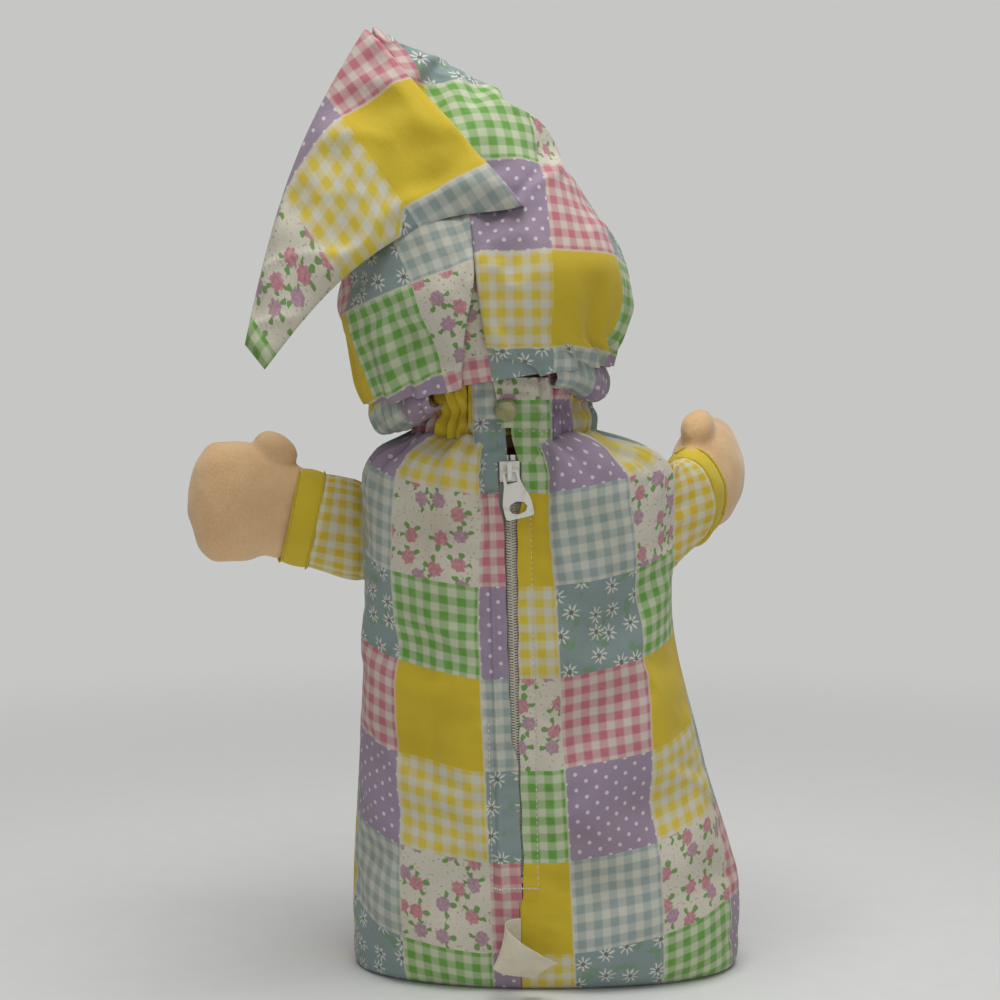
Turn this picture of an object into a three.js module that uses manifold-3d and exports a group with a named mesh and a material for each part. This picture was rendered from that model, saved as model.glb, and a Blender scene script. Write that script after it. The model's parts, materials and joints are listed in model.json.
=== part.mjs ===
// Plush baby doll in a zipped patchwork sack, with a hooded cap and mitten hands.
// Its back, with the zip, faces -Y and its face +Y. The origin is on the flat base,
// +Z is up, and every size is in millimetres.
import * as THREE from 'three';
import Module from 'manifold-3d';
import { mergeVertices } from 'three/addons/utils/BufferGeometryUtils.js';

const wasm = await Module();
wasm.setup();

// Cloth and gaps
const clearance = 0.3;
const clothThickness = 2.5;
const baseThickness = 2.5;

// Sack: heights, half widths, depths behind and before the side seams, sideways drift
const neckHeight = 264;
const shoulderDrop = 21;
const chestHeight = 182;
const hipHeight = 30;
const neckHalfWidth = 44;
const chestHalfWidth = 76;
const hipHalfWidth = 96.5;
const baseHalfWidth = 94.5;
const neckBack = 40;
const chestBack = 47;
const hipBack = 53;
const baseBack = 46;
const neckFront = 38;
const chestFront = 44;
const hipFront = 49;
const baseFront = 44;
const neckDrift = -12;
const chestDrift = -5;
const hipDrift = 9;
const hemTurnPart = 0.25;
const hemTurnSwell = 0.6;
const waistSwell = 0.55;
const shoulderTurnPart = 0.55;
const shoulderTurnDrop = 0.27;
const sideFullness = 0.92;
const backFullness = 0.85;
const frontFullness = 1;

// Soft dents of the filled cloth: crossing waves, in turns per mm across and up, and a start
const dentDepth = 7;
const dentWaves = [[0.0088, 0.0167, 0.1], [-0.0156, 0.0099, 0.33], [-0.0032, 0.0204, 0.64]];
const dentFade = 4;
const dentSpacing = 16;

// Zip in the back
const zipFootHeight = 56;
const zipHeadDrop = 12;
const zipFootX = -5;
const zipHeadX = -9.6;
const zipHeadRecess = 6.5;
const zipFootRecess = 1.5;
const slotHalfWidth = 5.5;
const grooveHalfWidth = 14;
const grooveFlank = 16;
const zipWell = 3.6;
const tapeWidth = 12;
const tapeThickness = 0.8;
const coilWidth = 2.2;
const coilHeight = 2;
const coilGap = 1.2;
const stopLength = 3;
const sliderLength = 9.5;
const sliderWidth = 9.4;
const sliderPlate = 1.5;
const sliderWeb = 0.6;
const bridgeWidth = 2;
const bridgeLength = 8;
const bridgeBar = 1.1;
const weld = 0.2;
const pullLength = 22.5;
const pullWidth = 13.8;
const pullEyeWidth = 8;
const pullThickness = 1.3;
const pullTilt = 12;
const pullNeckDrop = 1.6;
const pullShoulder = 9;
const pullRounding = 2;
const pullEyeWall = 1.4;
const pullEyeRounding = 0.5;
const pullHoleRise = 5;
const pullHoleHalfWidth = 4.4;
const pullHoleHalfHeight = 3.1;
const tackWidth = 24;
const tackHeight = 2.4;
const tackThickness = 1.2;
const tackDrop = 6;
const slotFoot = 4;
const grooveFoot = 12;

// Neck opening: placket, tab and snap
const placketHeight = 17.5;
const placketLeft = -29;
const placketRight = 11;
const placketThickness = 2;
const tabLeft = -21;
const tabHinge = 4;
const tabThickness = 2;
const snapRadius = 5.2;
const snapThickness = 2.4;
const snapX = -11;
const snapRise = 12;
const studRadius = 3.2;
const studHeight = 0.8;

// Gathered collar and its elastic
const collarFolds = 9;
const collarWall = 2.2;
const collarFoldDepth = 2.4;
const collarFlare = 4;
const collarBackAngle = 30;
const collarChinDip = 13;
const collarTopGap = 4;
const collarWaist = 1.5;
const collarFootFold = 0.3;
const collarLevels = [0, 0.45, 1];
const elasticWidth = 6;
const elasticThickness = 2.2;
const elasticTuck = 0.7;

// Stuffed neck, and the head's own frame that leans on it
const neckPivotRise = 8;
const neckBallRadius = 26;
const neckBallSlack = 0.9;
const neckStemRadius = 19;
const neckStemDepth = 22;
const neckSides = 16;
const headLean = 9;
const headHalfWidth = 60;
const headHalfDepth = 58;
const headHalfHeight = 58;
const headLift = 60;
const headForward = 4;
const headFoot = 14;
const skinThickness = 2.2;

// Hood and cap
const hoodFoot = 17;
const hoodHalfWidth = 70;
const hoodFootHalfWidth = 62;
const hoodBack = 65;
const hoodFootBack = 54;
const hoodFront = 57;
const hoodFootFront = 48;
const hoodFaceEdge = 38;
const hoodBrowRise = 24;
const hoodBrowPart = 0.33;
const hoodWaistPart = 0.3;
const hoodWaistSwell = 0.6;
const coneFoot = 121;
const coneHeight = 73;
const coneFootHalfWidth = 49;
const coneFootDepth = 37;
const coneFootDrift = -3;
const coneDrift = -34;
const coneBend = 1.6;
const coneSwell = 1.3;
const coneTipHalfWidth = 4;
const coneTipDepth = 6;
const hemDrop = 11;
const hemFlare = 5;
const hemFolds = 7;
const hemFoldDepth = 2;
const hemStartAngle = 40;
const hemEndAngle = 128;
const hemTuck = 3;
const bandWidth = 7;
const bandThickness = 4.5;
const bandFolds = 17;
const bandFoldDepth = 1.4;
const bandGap = 0.45;

// Tail of the cap, folded over along a line on the back of the cone
const foldPeakWidth = 2;
const foldPeakDepth = 5;
const foldCornerWidth = 19;
const foldCornerDepth = 13;
const foldCornerDrop = 17;
const tailTipReach = 104;
const tailTipDepth = 27;
const tailTipDrop = 81;
const tailThickness = 13;
const tailEdgeThickness = 2.4;
const tailTipWidth = 16;
const tailBowWidth = 11;
const tailLowerBowWidth = 14.3;
const tailLeastThickness = 0.6;

// Arms and hands
const leftArmDrop = 28;
const rightArmDrop = 22;
const armRaise = { left: 19, right: 23 };
const armHalfHeight = 24;
const armHalfDepth = 16.5;
const armRoot = 0.9;
const armRootHalfDepth = 0.45;
const sleeveLength = 24;
const cuffLength = 13;
const cuffPuff = 0.8;
const cuffGap = 1;
const armWall = 2;
const armFillGap = 0.9;
const leftArmBackward = 8;
const rightArmForward = 68;
const handLength = 48;
const handHalfHeight = 32;
const handHalfDepth = 18.5;
const handWall = 2;
const wristHalfDepth = 13.6;
const wristHalfHeight = 18.6;
const thumbRadius = 8.5;
const thumbRise = 26;
const thumbReach = 7;
const wristHoleRadius = 4;
const wristHoleLength = 10;

// Label in the back seam
const labelHeight = 18;
const labelMiddle = 23;
const labelThickness = 0.8;
const labelStops = [[0, 0], [-6, -3.5], [-9, -8], [-3, -11], [8, -10.5], [17, -8]];

// Face
const eyeRadius = 6;
const eyeSpread = 21;
const eyeRise = 4;
const noseRadius = 4.5;
const noseDrop = 7;
const mouthHalfWidth = 11;
const mouthDrop = 20;
const mouthThickness = 2.4;
const mouthCurl = 4;
const mouthProud = 0.6;

// Heights that follow from the neck
const shoulderHeight = neckHeight - shoulderDrop;
const zipHeadHeight = neckHeight - zipHeadDrop;
const neckPivotHeight = neckHeight + neckPivotRise;
const armHeight = { left: shoulderHeight - leftArmDrop, right: shoulderHeight - rightArmDrop };

const { lerp: mix, smoothstep, degToRad, clamp } = THREE.MathUtils;
const point = (x, y, z) => new THREE.Vector3(x, y, z);
const ease = (start, end, at) => smoothstep(at, start, end);
const steps = (start, end, count) => Array.from({ length: count }, (_, k) => mix(start, end, k / count));

// A smooth curve through [place, size] stops that never overshoots a stop.
function curve(stops) {
  const rise = stops.slice(1).map(([at, size], k) => (size - stops[k][1]) / (at - stops[k][0]));
  const slope = stops.map((_, k) => {
    const before = rise[Math.max(k - 1, 0)];
    const after = rise[Math.min(k, rise.length - 1)];
    return before * after <= 0 ? 0 : (2 * before * after) / (before + after);
  });
  return (place) => {
    const last = stops.length - 2;
    const k = clamp(stops.findIndex(([at]) => place < at) - 1, 0, last);
    const part = place >= stops[last][0] ? last : k;
    const [start, low] = stops[part];
    const [end, high] = stops[part + 1];
    const span = end - start;
    const t = clamp((place - start) / span, 0, 1);
    const swell = slope[part] * t * (1 - t) ** 2 - slope[part + 1] * t * t * (1 - t);
    return mix(low, high, ease(0, 1, t)) + span * swell;
  };
}

function fromFaces(points, faces) {
  const geometry = new THREE.BufferGeometry();
  geometry.setFromPoints(points);
  geometry.setIndex(faces);
  return geometry;
}

// A closed skin through rings of points that run counterclockwise about the way it grows.
// A looped skin joins its last ring to its first; otherwise both ends get flat caps.
function loft(rings, looped = false) {
  const count = rings[0].length;
  const points = rings.flat();
  const faces = [];
  const spans = looped ? rings.length : rings.length - 1;
  for (let r = 0; r < spans; r++) {
    const next = (r + 1) % rings.length;
    for (let k = 0; k < count; k++) {
      const after = (k + 1) % count;
      const [a, b] = [r * count + k, r * count + after];
      const [c, d] = [next * count + k, next * count + after];
      faces.push(a, b, d, a, d, c);
    }
  }
  if (!looped) {
    const middle = (ring) => ring.reduce((sum, p) => sum.add(p), point(0, 0, 0)).divideScalar(count);
    const foot = points.push(middle(rings[0])) - 1;
    const head = points.push(middle(rings.at(-1))) - 1;
    const top = (rings.length - 1) * count;
    for (let k = 0; k < count; k++) {
      const after = (k + 1) % count;
      faces.push(foot, after, k, head, top + k, top + after);
    }
  }
  return fromFaces(points, faces);
}

// A sheet with thickness between two grids of the same rows and columns.
function slab(outer, inner) {
  const rows = outer.length;
  const columns = outer[0].length;
  const points = [...outer.flat(), ...inner.flat()];
  const under = rows * columns;
  const at = (r, c) => r * columns + c;
  const faces = [];
  for (let r = 0; r < rows - 1; r++) {
    for (let c = 0; c < columns - 1; c++) {
      const [a, b, d, e] = [at(r, c), at(r, c + 1), at(r + 1, c + 1), at(r + 1, c)];
      faces.push(a, b, d, a, d, e);
      faces.push(under + a, under + d, under + b, under + a, under + e, under + d);
    }
  }
  const rim = [];
  for (let c = 0; c < columns - 1; c++) rim.push(at(0, c));
  for (let r = 0; r < rows - 1; r++) rim.push(at(r, columns - 1));
  for (let c = columns - 1; c > 0; c--) rim.push(at(rows - 1, c));
  for (let r = rows - 1; r > 0; r--) rim.push(at(r, 0));
  rim.forEach((p, k) => {
    const q = rim[(k + 1) % rim.length];
    faces.push(q, p, under + p, q, under + p, under + q);
  });
  return fromFaces(points, faces);
}

function toSolid(geometry) {
  const bare = new THREE.BufferGeometry();
  bare.setAttribute('position', geometry.getAttribute('position').clone());
  bare.setIndex(geometry.getIndex());
  const merged = mergeVertices(bare);
  const vertProperties = Float32Array.from(merged.getAttribute('position').array);
  const triVerts = Uint32Array.from(merged.getIndex().array);
  return new wasm.Manifold(new wasm.Mesh({ numProp: 3, vertProperties, triVerts }));
}

function fromSolid(solid) {
  const { vertProperties, triVerts } = solid.getMesh();
  const geometry = new THREE.BufferGeometry();
  geometry.setAttribute('position', new THREE.BufferAttribute(vertProperties, 3));
  geometry.setIndex(new THREE.BufferAttribute(triVerts, 1));
  return geometry;
}

const cut = (geometry, ...tools) =>
  fromSolid(tools.reduce((left, tool) => left.subtract(toSolid(tool)), toSolid(geometry)));
const join = (geometry, ...more) =>
  fromSolid(more.reduce((whole, extra) => whole.add(toSolid(extra)), toSolid(geometry)));

// A box given by its lowest and highest corners.
function box(low, high) {
  const size = high.map((value, k) => value - low[k]);
  const geometry = new THREE.BoxGeometry(...size);
  return geometry.translate(...low.map((value, k) => value + size[k] / 2));
}

function ball(radii, centre, around = 20, rings = 14) {
  const geometry = new THREE.SphereGeometry(1, around, rings);
  geometry.rotateX(Math.PI / 2);
  return geometry.scale(...radii).translate(...centre);
}

function cloth(color, roughness = 0.95) {
  return new THREE.MeshStandardMaterial({ color, roughness, metalness: 0 });
}

const cream = cloth(0xe9e0cc);
const yellow = cloth(0xdcae4e);
const yellowCheck = cloth(0xe8cf92);
const rose = cloth(0xe3d3c3);
const greenCheck = cloth(0xbcc59a);
const blueCheck = cloth(0xb3bcc6);
const mauve = cloth(0xa98ba4);
const pinkCheck = cloth(0xdfb3a6);
const deepRed = cloth(0x6e2a2c);
const wadding = cloth(0xf2efe8);
const fleece = cloth(0xe9b792);
const thread = cloth(0x5a4636);
const enamel = new THREE.MeshStandardMaterial({ color: 0xf0eee8, roughness: 0.35, metalness: 0.1 });
const brass = new THREE.MeshStandardMaterial({ color: 0x8d7d4c, roughness: 0.45, metalness: 0.8 });

const doll = new THREE.Group();

function add(parent, name, geometry, material) {
  geometry.computeVertexNormals();
  const mesh = new THREE.Mesh(geometry, material);
  mesh.name = name;
  parent.add(mesh);
}

// The sack's form: each level is a rounded oval, pressed flat along the zip
const shoulderTurn = mix(shoulderHeight, neckHeight, shoulderTurnPart);
const hemTurn = hipHeight * hemTurnPart;
const sackForm = (base, hip, chest, neck) => curve([
  [0, base],
  [hemTurn, mix(base, hip, hemTurnSwell)],
  [hipHeight, hip],
  [mix(hipHeight, chestHeight, 0.5), mix(hip, chest, waistSwell)],
  [chestHeight, chest],
  [shoulderHeight, chest],
  [shoulderTurn, mix(chest, neck, shoulderTurnDrop)],
  [neckHeight, neck],
]);
const sackHalf = sackForm(baseHalfWidth, hipHalfWidth, chestHalfWidth, neckHalfWidth);
const sackBack = sackForm(baseBack, hipBack, chestBack, neckBack);
const sackFront = sackForm(baseFront, hipFront, chestFront, neckFront);
const sackDrift = sackForm(hipDrift, hipDrift, chestDrift, neckDrift);

const alongZip = (z) => (z - zipFootHeight) / (zipHeadHeight - zipFootHeight);
const zipX = (z) => mix(zipFootX, zipHeadX, alongZip(z));
const zipY = (z) => -mix(hipBack - zipFootRecess, chestBack - zipHeadRecess, alongZip(z));
const seamHalf = clearance / 2;
const grooveEnd = zipFootHeight - grooveFoot;
const slotEnd = zipFootHeight - slotFoot;
const slotHalf = (z) => mix(seamHalf, slotHalfWidth, ease(grooveEnd, slotEnd, z));

// How far the cloth sinks in at a place; reach is 1 at the side seams, where it is held.
function dent(z, x, reach) {
  const waves = dentWaves.map(([across, up, start]) => Math.sin(2 * Math.PI * (across * x + up * z + start)));
  const sunk = waves.reduce((sum, wave) => sum + (1 + wave) / 2, 0) / waves.length;
  const free = ease(hipHeight, zipFootHeight, z) * (1 - ease(chestHeight, shoulderHeight, z));
  return dentDepth * sunk * free * (1 - reach ** dentFade);
}

function backPoint(z, x, inset, well) {
  const reach = Math.min(Math.abs(x - sackDrift(z)) / (sackHalf(z) - inset), 1);
  const sine = reach ** (1 / sideFullness);
  const round = (sackBack(z) - inset) * Math.sqrt(1 - sine * sine) ** backFullness - dent(z, x, reach);
  const away = Math.abs(x - zipX(z));
  const groove = (1 - ease(grooveHalfWidth, grooveHalfWidth + grooveFlank, away))
    * ease(grooveEnd - grooveFoot, grooveEnd, z);
  return point(x, mix(-round, zipY(z) + inset + well, groove) - seamHalf, z);
}

const sideX = (z, angle, inset) => {
  const sine = Math.sin(degToRad(angle));
  return sackDrift(z) + Math.sign(sine) * (sackHalf(z) - inset) * Math.abs(sine) ** sideFullness;
};
const backAngles = [26, 39, 52, 65, 78, 90];
const backBetween = [0.35, 0.7];
const frontAngles = [...steps(90, 270, 15), 270];

// One level of a back panel, from the zip to the side seam; side is 1 or -1.
function backLevel(z, side, inset, well = 0) {
  const strips = [slotHalf(z), grooveHalfWidth].map((u) => zipX(z) + side * u);
  const bends = backAngles.map((angle) => sideX(z, side * angle, inset));
  const between = backBetween.map((part) => mix(strips[1], bends[0], part));
  const level = [...strips, ...between, ...bends].map((x) => backPoint(z, x, inset, well));
  return side > 0 ? level : level.reverse();
}

function frontLevel(z, inset) {
  return frontAngles.map((angle) => {
    const round = Math.max(-Math.cos(degToRad(angle)), 0) ** frontFullness;
    const x = sideX(z, angle, inset);
    const reach = Math.abs(Math.sin(degToRad(angle)));
    return point(x, (sackFront(z) - inset) * round - dent(z, x, reach) + seamHalf, z);
  });
}

const floorLevel = baseThickness + clearance;
const fillTop = neckHeight - clothThickness;
const dentRows = Math.round((shoulderHeight - zipFootHeight) / dentSpacing);
const sackLevels = [
  0, floorLevel, hemTurn, grooveEnd - grooveFoot, grooveEnd, slotEnd,
  ...steps(zipFootHeight, shoulderHeight, dentRows).slice(1), shoulderHeight,
  mix(shoulderHeight, shoulderTurn, 0.5), shoulderTurn, mix(shoulderTurn, neckHeight, 0.5),
  fillTop, neckHeight,
].sort((a, b) => a - b);

function sackPanel(level) {
  return slab(sackLevels.map((z) => level(z, 0)), sackLevels.map((z) => level(z, clothThickness)));
}

add(doll, 'sack_back_left', sackPanel((z, inset) => backLevel(z, -1, inset)), yellowCheck);
add(doll, 'sack_back_right', sackPanel((z, inset) => backLevel(z, 1, inset)), blueCheck);
add(doll, 'sack_front', sackPanel(frontLevel), rose);

const lining = clothThickness + clearance;
const sackRing = (z, inset, well) => [
  ...backLevel(z, 1, inset, well).slice(1),
  ...frontLevel(z, inset),
  ...backLevel(z, -1, inset, well).slice(0, -1),
];
const baseRing = sackRing(0, lining, 0);
add(doll, 'sack_base', loft([baseRing, baseRing.map((p) => p.clone().setZ(baseThickness))]), yellow);

const fillLevels = sackLevels.filter((z) => z >= floorLevel && z <= fillTop);
const socketRadius = (neckStemRadius + clearance) / Math.cos(Math.PI / neckSides);
const neckSocket = new THREE.CylinderGeometry(
  socketRadius, socketRadius, 2 * neckStemDepth, neckSides,
).rotateX(Math.PI / 2).translate(neckDrift, 0, fillTop);
const bodyForm = loft(fillLevels.map((z) => sackRing(z, lining, zipWell)));
const neckRoomRadius = neckBallRadius + neckBallSlack;
const neckBallCavity = ball(Array(3).fill(neckRoomRadius), [neckDrift, 0, neckPivotHeight], 16, 12);
add(doll, 'torso_filling', cut(bodyForm, neckSocket, neckBallCavity), deepRed);

// Zip: tapes, coils, stops, slider and pull in a frame that runs up the zip,
// with x across it, y into the doll and the tapes' outer face at y = 0
const zipPoint = (z) => point(zipX(z), zipY(z) + lining - seamHalf, z);
const up = zipPoint(zipHeadHeight).sub(zipPoint(zipFootHeight));
const zipLength = up.length();
up.normalize();
const across = point(1, 0, 0).addScaledVector(up, -up.x).normalize();
const inward = up.clone().cross(across);
const zip = new THREE.Group();
zip.position.copy(zipPoint(zipFootHeight));
zip.quaternion.setFromRotationMatrix(new THREE.Matrix4().makeBasis(across, inward, up));
doll.add(zip);

const coilInner = coilGap / 2;
const coilOuter = coilInner + coilWidth;
const coilTop = -clearance - coilHeight;
const mirrored = (low, high, side) => (side > 0 ? [low, high] : [-high, -low]);
const sides = [['left', -1], ['right', 1]];
for (const [name, side] of sides) {
  const [tapeLow, tapeHigh] = mirrored(coilInner, coilInner + tapeWidth, side);
  const tape = box([tapeLow, 0, -stopLength], [tapeHigh, tapeThickness, zipLength + stopLength]);
  add(zip, `zip_tape_${name}`, tape, cream);
  const [coilLow, coilHigh] = mirrored(coilInner, coilOuter, side);
  const bevel = coilHeight * 0.3;
  const section = new THREE.Shape([
    [coilLow, -clearance], [coilHigh, -clearance], [coilHigh, coilTop + bevel],
    [coilHigh - bevel, coilTop], [coilLow + bevel, coilTop], [coilLow, coilTop + bevel],
  ].map(([x, y]) => new THREE.Vector2(x, y)));
  const coil = new THREE.ExtrudeGeometry(section, { depth: zipLength, bevelEnabled: false, steps: 1 });
  add(zip, `zip_coil_${name}`, coil, cream);
  const stopFoot = zipLength + clearance;
  add(zip, `zip_top_stop_${name}`,
    box([coilLow, coilTop, stopFoot], [coilHigh, -clearance, stopFoot + stopLength - clearance]), enamel);
}
add(zip, 'zip_bottom_stop',
  box([-coilOuter, coilTop, -stopLength], [coilOuter, -clearance, -clearance]), enamel);

const tackBack = -lining - clearance;
const tackHalf = tackWidth / 2;
add(zip, 'bar_tack',
  box([-tackHalf, tackBack - tackThickness, -tackDrop - tackHeight], [tackHalf, tackBack, -tackDrop]), cream);

const sliderFace = coilTop - clearance;
const sliderTop = sliderFace - sliderPlate;
const sliderUnder = tapeThickness + clearance;
const sliderMiddle = zipLength - sliderLength / 2;
const bridgeRoom = pullThickness + 2 * clearance;
const bridgeTop = sliderTop - bridgeRoom - bridgeBar;
const sliderHalf = sliderLength / 2;
const plate = (low, high, half) => box([-half, low, -sliderHalf], [half, high, sliderHalf]);
const bridgeEnd = bridgeLength / 2;
const slider = join(
  plate(sliderTop, sliderFace, sliderWidth / 2),
  plate(sliderUnder, sliderUnder + sliderPlate - clearance, sliderWidth / 2 - 1),
  box([-sliderWeb / 2, sliderFace - weld, -sliderHalf], [sliderWeb / 2, sliderUnder + weld, sliderHalf]),
  box([-bridgeWidth / 2, bridgeTop, -bridgeEnd], [bridgeWidth / 2, bridgeTop + bridgeBar, bridgeEnd]),
  box([-bridgeWidth / 2, bridgeTop, -bridgeEnd], [bridgeWidth / 2, sliderTop + weld, -bridgeEnd + bridgeBar]),
  box([-bridgeWidth / 2, bridgeTop, bridgeEnd - bridgeBar], [bridgeWidth / 2, sliderTop + weld, bridgeEnd]),
);
const carriage = new THREE.Group();
carriage.name = 'carriage';
carriage.position.z = sliderMiddle;
zip.add(carriage);
add(carriage, 'zip_slider', slider, enamel);

// A path round a shape whose corners are drawn in by arcs.
function roundedPath(path, corners, radius) {
  corners.forEach((corner, k) => {
    const before = corners.at(k - 1);
    const after = corners[(k + 1) % corners.length];
    const enter = corner.clone().lerp(before, radius / corner.distanceTo(before));
    const leave = corner.clone().lerp(after, radius / corner.distanceTo(after));
    if (k === 0) path.moveTo(enter.x, enter.y);
    else path.lineTo(enter.x, enter.y);
    path.quadraticCurveTo(corner.x, corner.y, leave.x, leave.y);
  });
  path.closePath();
  return path;
}

const corner = (x, y) => new THREE.Vector2(x, y);
const eyeTop = pullThickness / 2;
const eyeBottom = -bridgeEnd - pullNeckDrop;
const pullTop = eyeBottom - pullShoulder;
const pullShape = roundedPath(new THREE.Shape(), [
  corner(-pullEyeWidth / 2, eyeTop), corner(-pullEyeWidth / 2, eyeBottom),
  corner(-pullWidth / 2, pullTop), corner(-pullWidth / 2, -pullLength),
  corner(pullWidth / 2, -pullLength), corner(pullWidth / 2, pullTop),
  corner(pullEyeWidth / 2, eyeBottom), corner(pullEyeWidth / 2, eyeTop),
], pullRounding);
const eyeHalf = pullEyeWidth / 2 - pullEyeWall;
pullShape.holes.push(roundedPath(new THREE.Path(), [
  corner(-eyeHalf, -eyeTop), corner(eyeHalf, -eyeTop),
  corner(eyeHalf, eyeBottom), corner(-eyeHalf, eyeBottom),
], pullEyeRounding));
const pullHole = new THREE.Path();
const holeMiddle = pullHoleRise - pullLength;
pullHole.absellipse(0, holeMiddle, pullHoleHalfWidth, pullHoleHalfHeight, 0, 2 * Math.PI, true);
pullShape.holes.push(pullHole);
const pullPlate = new THREE.ExtrudeGeometry(
  pullShape, { depth: pullThickness, bevelEnabled: false, curveSegments: 4 },
).translate(0, 0, -pullThickness / 2).rotateX(Math.PI / 2);
const pullPivot = new THREE.Group();
pullPivot.name = 'pull_pivot';
pullPivot.position.y = sliderTop - bridgeRoom / 2;
pullPivot.rotation.y = degToRad(-pullTilt);
carriage.add(pullPivot);
add(pullPivot, 'zip_pull', pullPlate, enamel);

// Placket, tab and snap at the back of the neck
const placketFoot = neckHeight + clearance;
const placketTop = placketFoot + placketHeight;
const placketFace = zipY(neckHeight) - seamHalf;
const placketPanel = (left, right) =>
  box([left, placketFace, placketFoot], [right, placketFace + placketThickness, placketTop]);
add(doll, 'placket_left', placketPanel(placketLeft, snapX + studRadius + 1), blueCheck);
add(doll, 'placket_right', placketPanel(tabHinge - 1, placketRight), greenCheck);

const snapHeight = placketFoot + snapRise;
const studFace = placketFace - clearance - studHeight;
const stud = new THREE.CylinderGeometry(studRadius, studRadius, studHeight, 20);
add(doll, 'snap_stud', stud.translate(snapX, studFace + studHeight / 2, snapHeight), brass);
const tabBack = studFace - clearance;
const tabFace = tabBack - tabThickness;
const tab = new THREE.Group();
tab.name = 'tab_hinge';
tab.position.set(tabHinge, tabBack, snapHeight);
doll.add(tab);
const ofTab = (geometry) => geometry.translate(-tabHinge, -tabBack, -snapHeight);
add(tab, 'neck_tab', ofTab(box([tabLeft, tabFace, placketFoot], [tabHinge, tabBack, placketTop])), blueCheck);
const capProfile = [[0, 0], [snapRadius, 0], [snapRadius, 0.5], [snapRadius * 0.75, 0.8], [0, 1]];
const snapCap = new THREE.LatheGeometry(
  capProfile.map(([radius, rise]) => new THREE.Vector2(radius, rise * snapThickness)), 20,
).rotateX(Math.PI).translate(snapX, tabFace - clearance, snapHeight);
add(tab, 'snap_cap', ofTab(snapCap), brass);

// Head frame: leans over the neck, with x to the side, y forward and z up the head
const head = new THREE.Group();
head.name = 'neck_pivot';
head.position.set(neckDrift, 0, neckPivotHeight);
head.rotation.y = degToRad(-headLean);
doll.add(head);

// Collar: a gathered wall on the sack's neck edge that rises to just under the hood
const leanRise = Math.tan(degToRad(headLean));
const hoodFootMiddle = neckPivotHeight + hoodFoot / Math.cos(degToRad(headLean));
const hoodFootHeight = (x) => hoodFootMiddle + (x - neckDrift) * leanRise;
function collarHalf(side) {
  const columns = collarFolds * 4 + 1;
  const grid = (inset) => collarLevels.map((rise) => Array.from({ length: columns }, (_, k) => {
    const turn = mix(collarBackAngle, 180 - clearance, k / (columns - 1));
    const fold = 0.5 * collarFoldDepth * Math.sin((k * Math.PI) / 2) * (collarFootFold + rise);
    const waist = -collarWaist * Math.sin(rise * Math.PI) + collarFlare * rise * rise;
    const reach = fold + waist - inset;
    const angle = degToRad(side * turn);
    const depth = turn < 90 ? neckBack : neckFront;
    const x = neckDrift + (neckHalfWidth + reach) * Math.sin(angle);
    const y = -(depth + reach) * Math.cos(angle);
    const top = hoodFootHeight(x) - collarTopGap - collarChinDip * ease(90, 140, turn);
    return point(x, y, mix(placketFoot, top, rise));
  }));
  const ordered = (rows) => (side > 0 ? rows : rows.map((row) => row.reverse()));
  return slab(ordered(grid(0)), ordered(grid(collarWall)));
}
add(doll, 'collar_gathers_left', collarHalf(-1), pinkCheck);
add(doll, 'collar_gathers_right', collarHalf(1), mauve);

const elasticOuter = Math.min(neckFront, neckHalfWidth) - collarWall - elasticTuck * collarFoldDepth;
const elasticSection = [
  [0, 0], [elasticThickness, 0], [elasticThickness, elasticWidth], [0, elasticWidth], [0, 0],
];
const elastic = new THREE.LatheGeometry(elasticSection.map(([out, rise]) =>
  new THREE.Vector2(elasticOuter - elasticThickness + out, rise)), 32);
add(doll, 'neck_elastic', elastic.rotateX(Math.PI / 2).translate(neckDrift, 0, placketFoot), cream);

const stemFoot = fillTop - neckStemDepth + clearance - neckPivotHeight;
const stemProfile = [[0, stemFoot], [neckStemRadius, stemFoot]];
const stemMeet = -Math.sqrt(neckBallRadius ** 2 - neckStemRadius ** 2);
const meetAngle = Math.atan2(stemMeet, neckStemRadius);
for (const angle of [...steps(meetAngle, Math.PI / 2, 9), Math.PI / 2]) {
  stemProfile.push([neckBallRadius * Math.cos(angle), neckBallRadius * Math.sin(angle)]);
}
const stem = new THREE.LatheGeometry(
  stemProfile.map(([r, z]) => new THREE.Vector2(Math.max(r, 0), z)), neckSides,
);
add(doll, 'neck_stem', stem.rotateX(Math.PI / 2).translate(neckDrift, 0, neckPivotHeight), fleece);

// Head: a cloth cover over wadding, cut to turn on the neck's ball
const far = 400;
const headForm = (grow) => ball(
  [headHalfWidth + grow, headHalfDepth + grow, headHalfHeight + grow], [0, headForward, headLift], 20, 14,
);
const below = (height) => box([-far, -far, -far], [far, far, height]);
const neckRoom = ball(Array(3).fill(neckRoomRadius), [0, 0, 0], 16, 12);
add(head, 'head_cover', cut(headForm(0), headForm(-skinThickness), below(headFoot), neckRoom), fleece);
add(head, 'head_filling', cut(headForm(-skinThickness - clearance), below(headFoot), neckRoom), wadding);

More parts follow.
